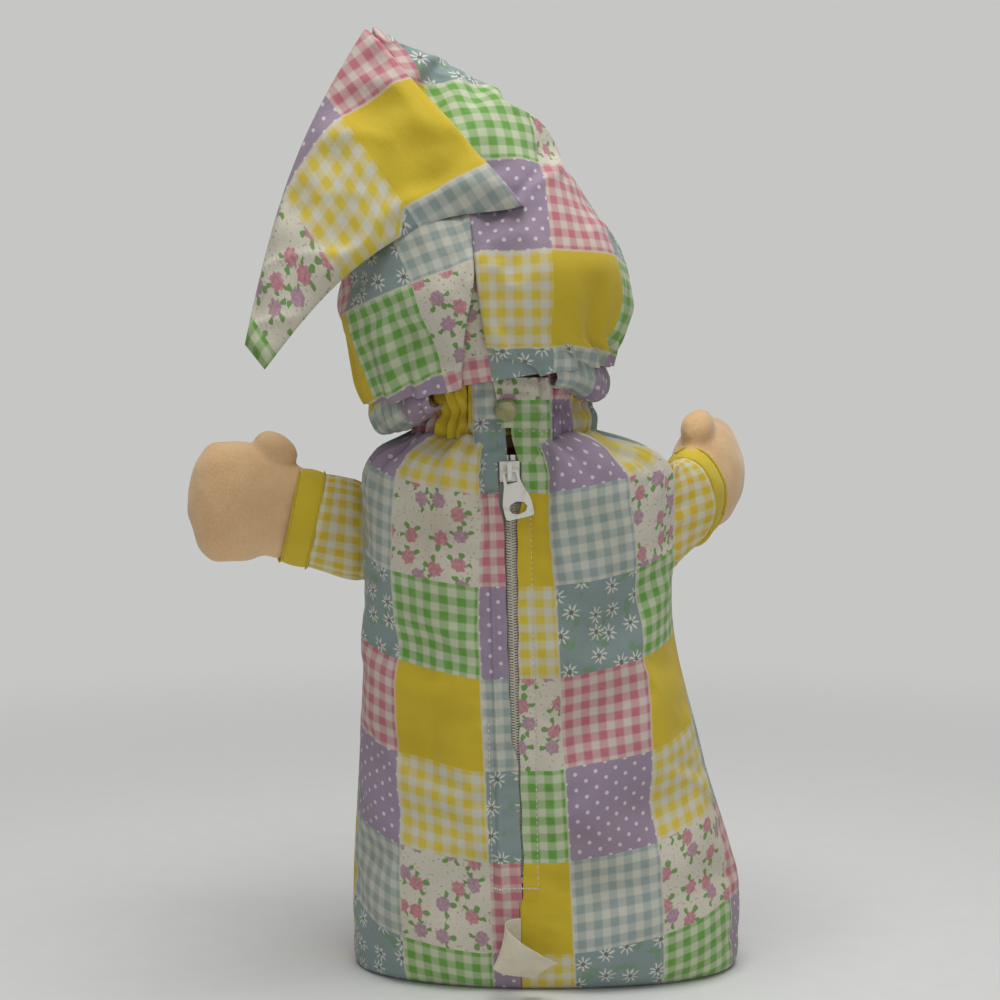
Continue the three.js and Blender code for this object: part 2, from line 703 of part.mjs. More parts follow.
const faceY = (x, z) => headForward
  + headHalfDepth * Math.sqrt(1 - (x / headHalfWidth) ** 2 - ((z - headLift) / headHalfHeight) ** 2);
const onFace = (geometry) => cut(geometry, headForm(clearance));
const faceBall = (radius, x, rise) =>
  onFace(ball([radius, radius * 0.6, radius], [x, faceY(x, headLift + rise), headLift + rise], 10, 6));
add(head, 'eye_left', faceBall(eyeRadius, -eyeSpread, eyeRise), thread);
add(head, 'eye_right', faceBall(eyeRadius, eyeSpread, eyeRise), thread);
add(head, 'nose', faceBall(noseRadius, 0, -noseDrop), fleece);
const smile = new THREE.CatmullRomCurve3([-1, -0.5, 0, 0.5, 1].map((t) => {
  const [x, z] = [t * mouthHalfWidth, headLift - mouthDrop + mouthCurl * t * t];
  return point(x, faceY(x, z) + mouthProud, z);
}));
const mouthSection = new THREE.Shape().absarc(0, 0, mouthThickness / 2, 0, 2 * Math.PI);
const mouth = new THREE.ExtrudeGeometry(mouthSection, { extrudePath: smile, steps: 6, curveSegments: 3 });
add(head, 'mouth', onFace(mouth), mauve);

// Hood: two halves of a padded shell round the head, open at the face
const hoodWaist = mix(hoodFoot, headLift, hoodWaistPart);
const hoodTop = coneFoot - clearance;
const hoodBrow = headLift + hoodBrowRise;
const hoodForm = (foot, middle, top) => curve([
  [hoodFoot, foot],
  [hoodWaist, mix(foot, middle, hoodWaistSwell)],
  [headLift, middle],
  [hoodBrow, mix(middle, top, hoodBrowPart)],
  [coneFoot, top],
]);
const hoodHalf = hoodForm(hoodFootHalfWidth, hoodHalfWidth, coneFootHalfWidth);
const hoodRear = hoodForm(hoodFootBack, hoodBack, coneFootDepth);
const hoodFore = hoodForm(hoodFootFront, hoodFront, coneFootDepth);
const hoodDrift = hoodForm(0, 0, coneFootDrift);
const ovalPoints = 24;
function oval(drift, half, rear, fore, height) {
  return Array.from({ length: ovalPoints }, (_, k) => {
    const angle = (2 * Math.PI * k) / ovalPoints;
    const [sine, cosine] = [Math.sin(angle), -Math.cos(angle)];
    return point(drift + half * sine, (cosine < 0 ? rear : fore) * cosine, height);
  });
}
function hoodShape(grow, foot, top) {
  const levels = [foot, ...steps(hoodWaist, coneFoot, 7), top];
  return loft(levels.map((h) =>
    oval(hoodDrift(h), hoodHalf(h) + grow, hoodRear(h) + grow, hoodFore(h) + grow, h)));
}
const faceOpening = box([-far, hoodFaceEdge, -far], [far, far, far]);
const hood = cut(hoodShape(0, hoodFoot, hoodTop), headForm(clearance), neckRoom, faceOpening);
const leftSide = box([-far, -far, -far], [seamHalf, far, far]);
const rightSide = box([-seamHalf, -far, -far], [far, far, far]);
add(head, 'hood_left', cut(hood, rightSide), rose);
add(head, 'hood_right', cut(hood, leftSide), yellowCheck);

// Gathered hem of the hood at each side of the neck
function hoodHem(side) {
  const columns = hemFolds * 4 + 1;
  const grid = (inset) => [1, 0.5, 0].map((rise) => Array.from({ length: columns }, (_, k) => {
    const turn = mix(hemStartAngle, hemEndAngle, k / (columns - 1));
    const angle = degToRad(side * turn);
    const fold = 0.5 * hemFoldDepth * Math.sin((k * Math.PI) / 2) * (1.2 - rise);
    const reach = fold + hemFlare * Math.sin((1 - rise) * Math.PI * 0.6) - inset;
    const depth = turn < 90 ? hoodFootBack : hoodFootFront;
    const drop = hemDrop * (1 - rise) * ease(30, 75, turn) + hemTuck * (1 - rise);
    const height = hoodFoot - clearance - drop;
    const x = (hoodFootHalfWidth + reach) * Math.sin(angle);
    return point(x, -(depth + reach) * Math.cos(angle), height);
  })).reverse();
  const ordered = (rows) => (side > 0 ? rows : rows.map((row) => row.reverse()));
  return slab(ordered(grid(0)), ordered(grid(collarWall)));
}
add(head, 'hood_hem_left', hoodHem(-1), yellow);
add(head, 'hood_hem_right', hoodHem(1), blueCheck);

// Gathered band round the face
const bandFoot = hoodFaceEdge + clearance;
const bandReach = Math.sqrt(1 - ((bandFoot - headForward) / headHalfDepth) ** 2);
const bandRings = Array.from({ length: bandFolds * 3 }, (_, k) => {
  const angle = (2 * Math.PI * k) / (bandFolds * 3);
  const fold = bandFoldDepth * Math.sin((2 * Math.PI * k) / 3);
  const at = (grow, y) => {
    const x = (headHalfWidth * bandReach + grow) * Math.cos(angle);
    return point(x, y, headLift + (headHalfHeight * bandReach + grow) * Math.sin(angle));
  };
  const outer = bandGap + bandThickness;
  const edge = bandFoot + bandWidth + fold;
  return [at(bandGap, bandFoot), at(outer, bandFoot), at(outer, edge), at(bandGap, edge)];
});
add(head, 'hood_band', loft(bandRings, true), pinkCheck);

// Cap: a cone that leans to the left and narrows to a folded edge
const coneRise = (part) => coneFoot + part * coneHeight;
const coneLean = (part) => mix(coneFootDrift, coneDrift, part ** coneBend);
const coneHalf = (part) => mix(coneFootHalfWidth, coneTipHalfWidth, part ** coneSwell);
const coneDepth = curve([
  [0, coneFootDepth], [0.4, mix(coneFootDepth, coneTipDepth, 0.5)], [1, coneTipDepth],
]);
function coneShape(grow) {
  return loft([...steps(0, 1, 8), 1].map((part) => {
    const depth = coneDepth(part) + grow;
    return oval(coneLean(part), coneHalf(part) + grow, depth, depth, coneRise(part));
  }));
}
add(head, 'cap_cone', coneShape(0), greenCheck);

// Tail: a padded horn that hinges on the fold line and hangs over the hood
const peak = point(coneDrift - foldPeakWidth, -coneTipDepth - foldPeakDepth, coneFoot + coneHeight);
const foldCorner = point(foldCornerWidth, -coneFootDepth - foldCornerDepth, coneFoot - foldCornerDrop);
const tailTip = point(-tailTipReach, -coneFootDepth - tailTipDepth, coneFoot - tailTipDrop);
const foldAlong = foldCorner.clone().sub(peak);
const foldLength = foldAlong.length();
foldAlong.normalize();
const toTip = tailTip.clone().sub(peak);
const tipAlong = toTip.dot(foldAlong);
const tipOut = toTip.clone().addScaledVector(foldAlong, -tipAlong);
const tailLength = tipOut.length();
tipOut.normalize();
const tailFold = new THREE.Group();
tailFold.name = 'tail_fold';
tailFold.position.copy(peak);
tailFold.quaternion.setFromRotationMatrix(
  new THREE.Matrix4().makeBasis(foldAlong, tipOut, foldAlong.clone().cross(tipOut)),
);
head.add(tailFold);
tailFold.updateMatrix();
const lensPoints = 7;
const tailRings = [...steps(0, 1, 10), 1].map((part) => {
  const bow = Math.sin(Math.PI * part);
  const near = mix(0, tipAlong - tailTipWidth, part) - tailBowWidth * bow;
  const wide = mix(foldLength, tipAlong, part) - tailLowerBowWidth * bow;
  const swell = mix(tailEdgeThickness, tailThickness, Math.sin(Math.PI * mix(0.02, 0.92, part)) ** 0.7);
  const face = (k, sign) => {
    const t = k / lensPoints;
    const half = 0.5 * (tailLeastThickness + swell * Math.sin(Math.PI * t) ** 0.6);
    return point(mix(near, wide, t), tailLength * part, sign * half);
  };
  const outer = Array.from({ length: lensPoints + 1 }, (_, k) => face(k, -1));
  const inner = Array.from({ length: lensPoints + 1 }, (_, k) => face(lensPoints - k, 1));
  return [...outer, ...inner].reverse();
});
const hornInHead = loft(tailRings).applyMatrix4(tailFold.matrix);
const horn = cut(hornInHead, hoodShape(clearance, hoodFoot, coneFoot), coneShape(clearance));
add(tailFold, 'cap_tail', horn.applyMatrix4(tailFold.matrix.clone().invert()), yellow);

// Arms: a flat-sewn root that swells to the cuff, and a mitten on a round wrist
const wrist = sleeveLength + cuffLength + cuffGap;
const armSweep = curve([
  [armRoot, armRootHalfDepth],
  [sleeveLength * 0.2, 2.4],
  [sleeveLength * 0.6, armHalfDepth * 0.52],
  [sleeveLength, armHalfDepth * 0.93],
  [wrist, armHalfDepth],
]);
const limbPoints = 14;
function limbRing(reach, halfDepth, halfHeight) {
  return Array.from({ length: limbPoints }, (_, k) => {
    const angle = (2 * Math.PI * k) / limbPoints;
    return point(reach, halfDepth * Math.cos(angle), halfHeight * Math.sin(angle));
  });
}
const armRing = (reach, inset) =>
  limbRing(reach, Math.max(armSweep(reach) - inset, 0.2), armHalfHeight - inset);
const sleeveStops = [0.2, 0.4, 0.6, 0.8, 1].map((part) => part * sleeveLength);
const sleeveInside = sleeveStops.slice(1);
const sleeveRings = [
  armRing(armRoot, 0), ...sleeveStops.map((reach) => armRing(reach, 0)),
  ...sleeveInside.toReversed().map((reach) => armRing(reach, armWall)),
];
const fillEnd = wrist - wristHalfDepth - clearance;
const fillStops = [sleeveStops[1] + clearance, ...sleeveStops.slice(2, 4), fillEnd];
const fillRings = fillStops.map((reach) => armRing(reach, armWall + armFillGap));
const cuffStart = sleeveLength + clearance;
const cuffEnd = wrist - cuffGap;
const cuffRings = [
  armRing(cuffStart, 0), armRing(mix(cuffStart, cuffEnd, 0.5), -cuffPuff), armRing(cuffEnd, 0),
  armRing(cuffEnd, armWall), armRing(cuffStart, armWall),
];

// Mitten, whose reach starts at the wrist
const handStart = 4;
const handRoot = 10;
const handDepth = curve([
  [handStart, wristHalfDepth], [handRoot, handHalfDepth * 0.84], [0.42 * handLength, handHalfDepth],
  [0.7 * handLength, handHalfDepth * 0.95], [0.9 * handLength, handHalfDepth * 0.62], [handLength, 1.5],
]);
const handHeight = curve([
  [handStart, wristHalfHeight], [handRoot, handHalfHeight * 0.76], [0.42 * handLength, handHalfHeight * 0.97],
  [0.7 * handLength, handHalfHeight], [0.9 * handLength, handHalfHeight * 0.68], [handLength, 4],
]);
const wristTurns = [-0.92, -0.6, 0, 0.3];
const palmStops = [0.3, 0.45, 0.65, 0.8, 0.9, 0.97, 1].map((part) => part * handLength);
const mittenStops = [handStart, handRoot, ...palmStops];
function mitten(inset) {
  const root = wristTurns.map((turn) => {
    const thin = Math.sqrt(1 - turn * turn);
    const [depth, height] = [wristHalfDepth * thin - inset, wristHalfHeight * thin - inset];
    return limbRing(turn * (wristHalfDepth - inset), depth, height);
  });
  const rest = mittenStops.map((reach) => {
    const along = reach * (1 - inset / handLength);
    return limbRing(along, Math.max(handDepth(reach) - inset, 0.5), Math.max(handHeight(reach) - inset, 1));
  });
  return loft([...root, ...rest]);
}
const thumb = ball([thumbRadius, thumbRadius, thumbRadius * 1.1], [thumbReach, 0, thumbRise], 12, 8);
const wristHole = new THREE.CylinderGeometry(wristHoleRadius, wristHoleRadius, wristHoleLength, 12)
  .rotateZ(Math.PI / 2).translate(-wristHalfDepth, 0, 0);

const armTurn = { left: 180 + leftArmBackward, right: rightArmForward };
for (const [name, side] of sides) {
  const shoulder = new THREE.Group();
  shoulder.name = `shoulder_${name}`;
  shoulder.position.set(sideX(armHeight[name], side * 90, 0), 0, armHeight[name]);
  shoulder.rotation.z = degToRad(armTurn[name]);
  doll.add(shoulder);
  const rise = Math.tan(degToRad(armRaise[name]));
  const raised = (geometry) => geometry.applyMatrix4(new THREE.Matrix4().makeShear(0, rise, 0, 0, 0, 0));
  add(shoulder, `sleeve_${name}`, raised(loft(sleeveRings)), yellowCheck);
  add(shoulder, `arm_filling_${name}`, raised(loft(fillRings)), wadding);
  add(shoulder, `cuff_${name}`, raised(loft(cuffRings, true)), yellow);
  const hand = new THREE.Group();
  hand.name = `wrist_${name}`;
  hand.position.set(wrist, 0, wrist * rise);
  shoulder.add(hand);
  add(hand, `hand_cover_${name}`, cut(join(mitten(0), thumb), mitten(handWall), wristHole), fleece);
  add(hand, `hand_filling_${name}`, mitten(handWall + clearance), wadding);
}

// Label: a woven ribbon that leaves the back seam and lies over to the right
const labelPath = new THREE.SplineCurve(labelStops.map(([x, y]) => corner(x, y)));
const labelSteps = 14;
const ribbonEdge = (offset) => Array.from({ length: labelSteps + 1 }, (_, k) => {
  const along = labelPath.getTangent(k / labelSteps);
  return labelPath.getPoint(k / labelSteps).add(corner(-along.y, along.x).multiplyScalar(offset));
});
const ribbon = new THREE.Shape([
  ...ribbonEdge(-labelThickness / 2), ...ribbonEdge(labelThickness / 2).reverse(),
]);
const label = new THREE.Group();
label.name = 'label_seam';
const labelX = zipX(labelMiddle);
const labelSeat = Math.min(...steps(labelMiddle - labelHeight, labelMiddle + labelHeight, 8)
  .map((z) => backPoint(Math.max(z, 0), labelX, 0, 0).y));
label.position.set(labelX, labelSeat - clearance - labelThickness / 2, labelMiddle - labelHeight / 2);
doll.add(label);
const ribbonSolid = new THREE.ExtrudeGeometry(ribbon, { depth: labelHeight, bevelEnabled: false });
add(label, 'care_label', ribbonSolid, cream);

export default doll;
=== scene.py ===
# %% [markdown]
# # A plush doll in a zipped patchwork sack
# The doll is seen from behind: a stuffed sack with a zip down its back, a gathered neck, a hooded cap
# whose tail folds over, and two fleece mittens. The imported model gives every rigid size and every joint.
# This lesson dresses it: cloth is built as fine grids over the same forms, printed by shader nodes.

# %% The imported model
import json
import math

import bpy
import numpy as np
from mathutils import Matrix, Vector

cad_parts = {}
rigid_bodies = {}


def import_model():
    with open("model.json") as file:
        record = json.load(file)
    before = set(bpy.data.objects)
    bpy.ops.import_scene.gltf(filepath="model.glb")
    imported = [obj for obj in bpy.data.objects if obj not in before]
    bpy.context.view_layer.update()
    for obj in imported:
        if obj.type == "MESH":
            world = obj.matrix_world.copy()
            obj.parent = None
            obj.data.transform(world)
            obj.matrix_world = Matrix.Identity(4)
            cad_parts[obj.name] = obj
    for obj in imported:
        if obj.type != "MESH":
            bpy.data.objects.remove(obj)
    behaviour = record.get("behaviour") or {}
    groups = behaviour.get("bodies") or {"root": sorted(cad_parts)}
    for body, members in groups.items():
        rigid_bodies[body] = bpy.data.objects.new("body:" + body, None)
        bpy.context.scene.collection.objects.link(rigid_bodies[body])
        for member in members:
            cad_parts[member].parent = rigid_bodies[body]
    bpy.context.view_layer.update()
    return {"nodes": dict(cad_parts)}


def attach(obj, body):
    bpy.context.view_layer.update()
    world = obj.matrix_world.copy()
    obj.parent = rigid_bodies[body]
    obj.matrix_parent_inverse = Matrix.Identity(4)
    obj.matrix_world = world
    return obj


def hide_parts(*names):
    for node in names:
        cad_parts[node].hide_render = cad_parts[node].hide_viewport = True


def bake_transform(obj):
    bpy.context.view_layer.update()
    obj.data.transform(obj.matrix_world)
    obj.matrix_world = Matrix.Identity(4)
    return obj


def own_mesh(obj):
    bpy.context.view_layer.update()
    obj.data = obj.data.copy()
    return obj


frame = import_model()
scene = bpy.context.scene

# %% [markdown]
# ## Camera and studio
# The photograph was taken a little above the doll's middle with a slightly long lens. A camera could be
# framed by eye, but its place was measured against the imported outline, so it is set once and left alone.
# The background is a pale floor that fades into a world of the same grey, so no side of the doll is hidden.

# %% Camera
mm = 0.001
frame_pixels = 1000
focal_pixels = 1790
camera_place = Vector((-14, -880, 300)) * mm
camera_pitch = math.radians(4.5)

lens = bpy.data.cameras.new("photo_camera")
lens.sensor_width = 36
lens.lens = lens.sensor_width * focal_pixels / frame_pixels
lens.clip_start = 0.02
camera = bpy.data.objects.new("photo_camera", lens)
camera.location = camera_place
camera.rotation_euler = (math.pi / 2 - camera_pitch, 0, 0)
scene.collection.objects.link(camera)
scene.camera = camera
scene.view_settings.view_transform = "Standard"
print("lens", round(lens.lens, 1), "mm")

# %% [markdown]
# ## Shader sums as Python
# A printed cloth is mostly arithmetic: which square is this, where in the square, how far from a dot.
# Wiring that by hand hides the idea, so `Wire` wraps a socket and lets Python's operators add Math nodes.
# `Finish` owns one material, and its `node` method adds any other node with its settings and sockets.

# %% Wires and finishes
class Wire:
    """A number that flows between shader nodes."""

    def __init__(self, finish, socket):
        self.finish = finish
        self.socket = socket

    def math(self, operation, *others):
        values = dict(enumerate((self, *others)))
        return self.finish.node("ShaderNodeMath", {"operation": operation}, values)

    def __add__(self, other):
        return self.math("ADD", other)

    def __sub__(self, other):
        return self.math("SUBTRACT", other)

    def __rsub__(self, other):
        return self.finish.node("ShaderNodeMath", {"operation": "SUBTRACT"}, {0: other, 1: self})

    def __mul__(self, other):
        return self.math("MULTIPLY", other)

    def __truediv__(self, other):
        return self.math("DIVIDE", other)

    def __mod__(self, other):
        return self.math("FLOORED_MODULO", other)

    def __lt__(self, other):
        return self.math("LESS_THAN", other)

    def __gt__(self, other):
        return self.math("GREATER_THAN", other)

    __radd__ = __add__
    __rmul__ = __mul__

    def floor(self):
        return self.math("FLOOR")

    def wave(self):
        return self.math("SINE")

    def size(self):
        return self.math("ABSOLUTE")

    def power(self, exponent):
        return self.math("POWER", exponent)

    def least(self, other):
        return self.math("MINIMUM", other)

    def ease(self, low, high):
        """0 below low, 1 above high and a smooth step between; swapped ends fall instead."""
        settings = {"interpolation_type": "SMOOTHSTEP"}
        sockets = {"Value": self, "From Min": low, "From Max": high}
        return self.finish.node("ShaderNodeMapRange", settings, sockets)


class Finish:
    """One material, or the world, built from expressions on wires."""

    def __init__(self, name, owner=None):
        self.material = owner or bpy.data.materials.new(name)
        self.material.use_nodes = True
        self.tree = self.material.node_tree
        self.tree.nodes.clear()

    def node(self, kind, settings=None, sockets=None, out=0):
        made = self.tree.nodes.new(kind)
        for key, value in (settings or {}).items():
            if key == "stops":
                self.set_stops(made.color_ramp, value)
            else:
                setattr(made, key, value)
        for key, value in (sockets or {}).items():
            if isinstance(value, Wire):
                self.tree.links.new(value.socket, made.inputs[key])
            else:
                made.inputs[key].default_value = value
        return Wire(self, made.outputs[out]) if made.outputs else None

    @staticmethod
    def set_stops(ramp, stops):
        ramp.interpolation = "CONSTANT"
        while len(ramp.elements) < len(stops):
            ramp.elements.new(1)
        for element, (place, color) in zip(ramp.elements, stops):
            element.position = place
            element.color = color

    def mix(self, factor, low, high, blend="MIX"):
        sockets = {"Factor": factor, 6: low, 7: high}
        settings = {"data_type": "RGBA", "blend_type": blend, "clamp_factor": True}
        return self.node("ShaderNodeMix", settings, sockets, out=2)

    def noise(self, vector, scale, detail=2.0):
        sockets = {"Vector": vector, "Scale": scale, "Detail": detail}
        return self.node("ShaderNodeTexNoise", None, sockets)

    def place(self):
        """The cloth coordinates that every mesh in this lesson carries."""
        return self.node("ShaderNodeUVMap", {"uv_map": "cloth"})

    def parts(self, vector):
        made = self.node("ShaderNodeSeparateXYZ", None, {0: vector})
        outputs = made.socket.node.outputs
        return [Wire(self, outputs[k]) for k in range(3)]

    def join(self, x, y):
        return self.node("ShaderNodeCombineXYZ", None, {0: x, 1: y})

    def bump(self, height, strength, distance, under=None):
        sockets = {"Height": height, "Strength": strength, "Distance": distance}
        if under is not None:
            sockets["Normal"] = under
        return self.node("ShaderNodeBump", None, sockets)

    def surface(self, **sockets):
        names = {key.replace("_", " ").title(): value for key, value in sockets.items()}
        names = {key.replace("Ior", "IOR"): value for key, value in names.items()}
        shader = self.node("ShaderNodeBsdfPrincipled", None, names)
        self.node("ShaderNodeOutputMaterial", None, {"Surface": shader})
        return self.material


def srgb(red, green, blue):
    """A colour as a picture shows it, 0 to 255, turned into the linear light that shaders use."""
    def linear(value):
        value /= 255
        return value / 12.92 if value <= 0.04045 else ((value + 0.055) / 1.055) ** 2.4
    return (linear(red), linear(green), linear(blue), 1.0)


print("cream in linear light:", [round(part, 3) for part in srgb(226, 220, 200)])

# %% [markdown]
# ## The studio
# Plain soft light from above and in front: one broad lamp overhead, a weaker one from the front, and a
# dim even world. The camera sees floor and world as one grey, while their light on the doll
# stays as dim as it is; the floor near the doll keeps its shadow.

# %% Floor and world
far_grey = srgb(198, 199, 197)


def seen_directly(finish):
    """1 for what the camera or a shine sees, 0 for light that falls on the doll."""
    camera_ray = finish.node("ShaderNodeLightPath", None, None, out="Is Camera Ray")
    outputs = camera_ray.socket.node.outputs
    shine, glass = (Wire(finish, outputs[name]) for name in ("Is Glossy Ray", "Is Transmission Ray"))
    return (camera_ray + shine + glass).least(1.0)


def studio_floor():
    paper = Finish("studio_paper")
    where = paper.node("ShaderNodeTexCoord", None, None, out="Object")
    tone = paper.mix(paper.noise(where, 60.0), srgb(232, 233, 232), srgb(237, 238, 236))
    lit = paper.node("ShaderNodeBsdfDiffuse", None, {"Color": tone})
    glow = paper.node("ShaderNodeEmission", None, {"Color": far_grey, "Strength": 1.0})
    x, y, _ = paper.parts(where)
    far = (x * x + y * y).power(0.5).ease(0.3, 0.95) * seen_directly(paper)
    blended = paper.node("ShaderNodeMixShader", None, {0: far, 1: lit, 2: glow})
    paper.node("ShaderNodeOutputMaterial", None, {"Surface": blended})
    mesh = bpy.data.meshes.new("studio_floor")
    mesh.from_pydata([(-9, -9, 0), (9, -9, 0), (9, 9, 0), (-9, 9, 0)], [], [(0, 1, 2, 3)])
    mesh.materials.append(paper.material)
    floor = bpy.data.objects.new("studio_floor", mesh)
    scene.collection.objects.link(floor)


def studio_world():
    scene.world = bpy.data.worlds.new("studio_world")
    sky = Finish("studio_world", scene.world)
    dim = sky.node("ShaderNodeBackground", None, {"Color": (1.0, 1.0, 1.0, 1.0), "Strength": 0.2})
    pale = sky.node("ShaderNodeBackground", None, {"Color": far_grey, "Strength": 1.0})
    blended = sky.node("ShaderNodeMixShader", None, {0: seen_directly(sky), 1: dim, 2: pale})
    sky.node("ShaderNodeOutputWorld", None, {"Surface": blended})


studio_floor()
studio_world()
print("background grey:", [round(part, 3) for part in far_grey])

# %% Lamps
def lamp(name, place, target, size, watts):
    data = bpy.data.lights.new(name, "AREA")
    data.shape = "DISK"
    data.size = size
    data.energy = watts
    made = bpy.data.objects.new(name, data)
    made.location = place
    made.rotation_euler = (Vector(target) - Vector(place)).to_track_quat("-Z", "Y").to_euler()
    scene.collection.objects.link(made)


doll_middle = (0, 0, 0.24)
lamp("overhead", (0.05, -0.16, 1.45), doll_middle, 1.0, 12.5)
lamp("front_fill", (0.35, -1.7, 0.75), doll_middle, 1.2, 3.0)

# %% [markdown]
# ## Printed patchwork
# The sack, hood and cap are cut from one cloth that is printed to look like patchwork: columns of squares
# in two sets of four prints that take turns. An artist could paint it, but the repeat is a rule, so nodes
# work it out. Each mesh carries a map named cloth, one unit to a printed square, and turning or sliding
# that map is how a piece is cut from another part of the bolt.

# %% Print sizes and colours
square = 43.0
checks_in_square = 5.5
dots_across, dots_up = 4.5, 6.0
roses_in_square = 3.4
daisies_in_square = 3.5
turn = 2 * math.pi

cream = srgb(221, 219, 203)
daffodil = srgb(222, 196, 56)
# Ground and ink of yellow check, roses, green check, plain yellow, dots, blue check, daisies, pink check
print_grounds = [cream, srgb(224, 219, 204), srgb(212, 222, 192), daffodil,
                 srgb(168, 151, 174), srgb(214, 217, 207), srgb(148, 166, 166), srgb(224, 210, 202)]
print_inks = [srgb(226, 203, 70), cream, srgb(112, 174, 74), daffodil,
              srgb(228, 222, 228), srgb(158, 174, 172), srgb(228, 230, 224), srgb(204, 120, 138)]
check_prints = [1, 0, 1, 0, 0, 1, 0, 1]
rose_pink, rose_mauve = srgb(198, 124, 140), srgb(170, 138, 162)
leaf_green = srgb(108, 160, 74)
lint_shade, cotton_wear = srgb(200, 196, 186), srgb(196, 182, 150)
print("checks repeat every", round(square / checks_in_square, 1), "mm")


# %% Sums for the prints
def stops_of(values):
    return [(k / len(values), value) for k, value in enumerate(values)]


def check_level(u, v):
    """How strongly a woven check is inked: 0 between its stripes, half on one, 1 where two cross."""
    def stripe(place):
        return ((place * checks_in_square) % 1.0 - 0.5).size().ease(0.32, 0.19)
    return (stripe(u) + stripe(v)) * 0.5


def weave_bump(cloth, place, u, v):
    thread = 0.8 / square
    threads = (u * (turn / thread)).wave() * (v * (turn / thread)).wave()
    lint = cloth.noise(place, 70.0, 3.0)
    crumple = cloth.noise(place, 5.0, 3.0)
    fine = cloth.bump(threads * 0.25 + lint, 0.35, 0.0003)
    return cloth.bump(crumple, 0.25, 0.002, fine)


def woven_surface(cloth, place, u, v, tone):
    """What all woven cotton here shares: lint in its colour, a dull roughness and the weave itself."""
    tone = cloth.mix(cloth.noise(place, 55.0) * 0.16, tone, lint_shade, "MULTIPLY")
    rough = cloth.noise(place, 14.0) * 0.12 + 0.82
    return cloth.surface(base_color=tone, roughness=rough, normal=weave_bump(cloth, place, u, v),
                         sheen_weight=0.15, sheen_roughness=0.5, specular_ior_level=0.25)


def flower(cloth, place, per_square, randomness):
    """Distance and angle from the nearest flower's middle, in millimetres and radians, and its chance."""
    settings = {"voronoi_dimensions": "2D", "feature": "F1"}
    sockets = {"Vector": place, "Scale": per_square, "Randomness": randomness}
    middle = cloth.node("ShaderNodeTexVoronoi", settings, sockets, out="Position")
    chance = Wire(cloth, middle.socket.node.outputs["Color"])
    away = cloth.node("ShaderNodeVectorMath", {"operation": "SUBTRACT"}, {0: place, 1: middle})
    x, y, _ = cloth.parts(away)
    reach = (x * x + y * y).power(0.5) * square
    return reach, y.math("ARCTAN2", x), cloth.parts(chance)


print("prints:", len(print_grounds))

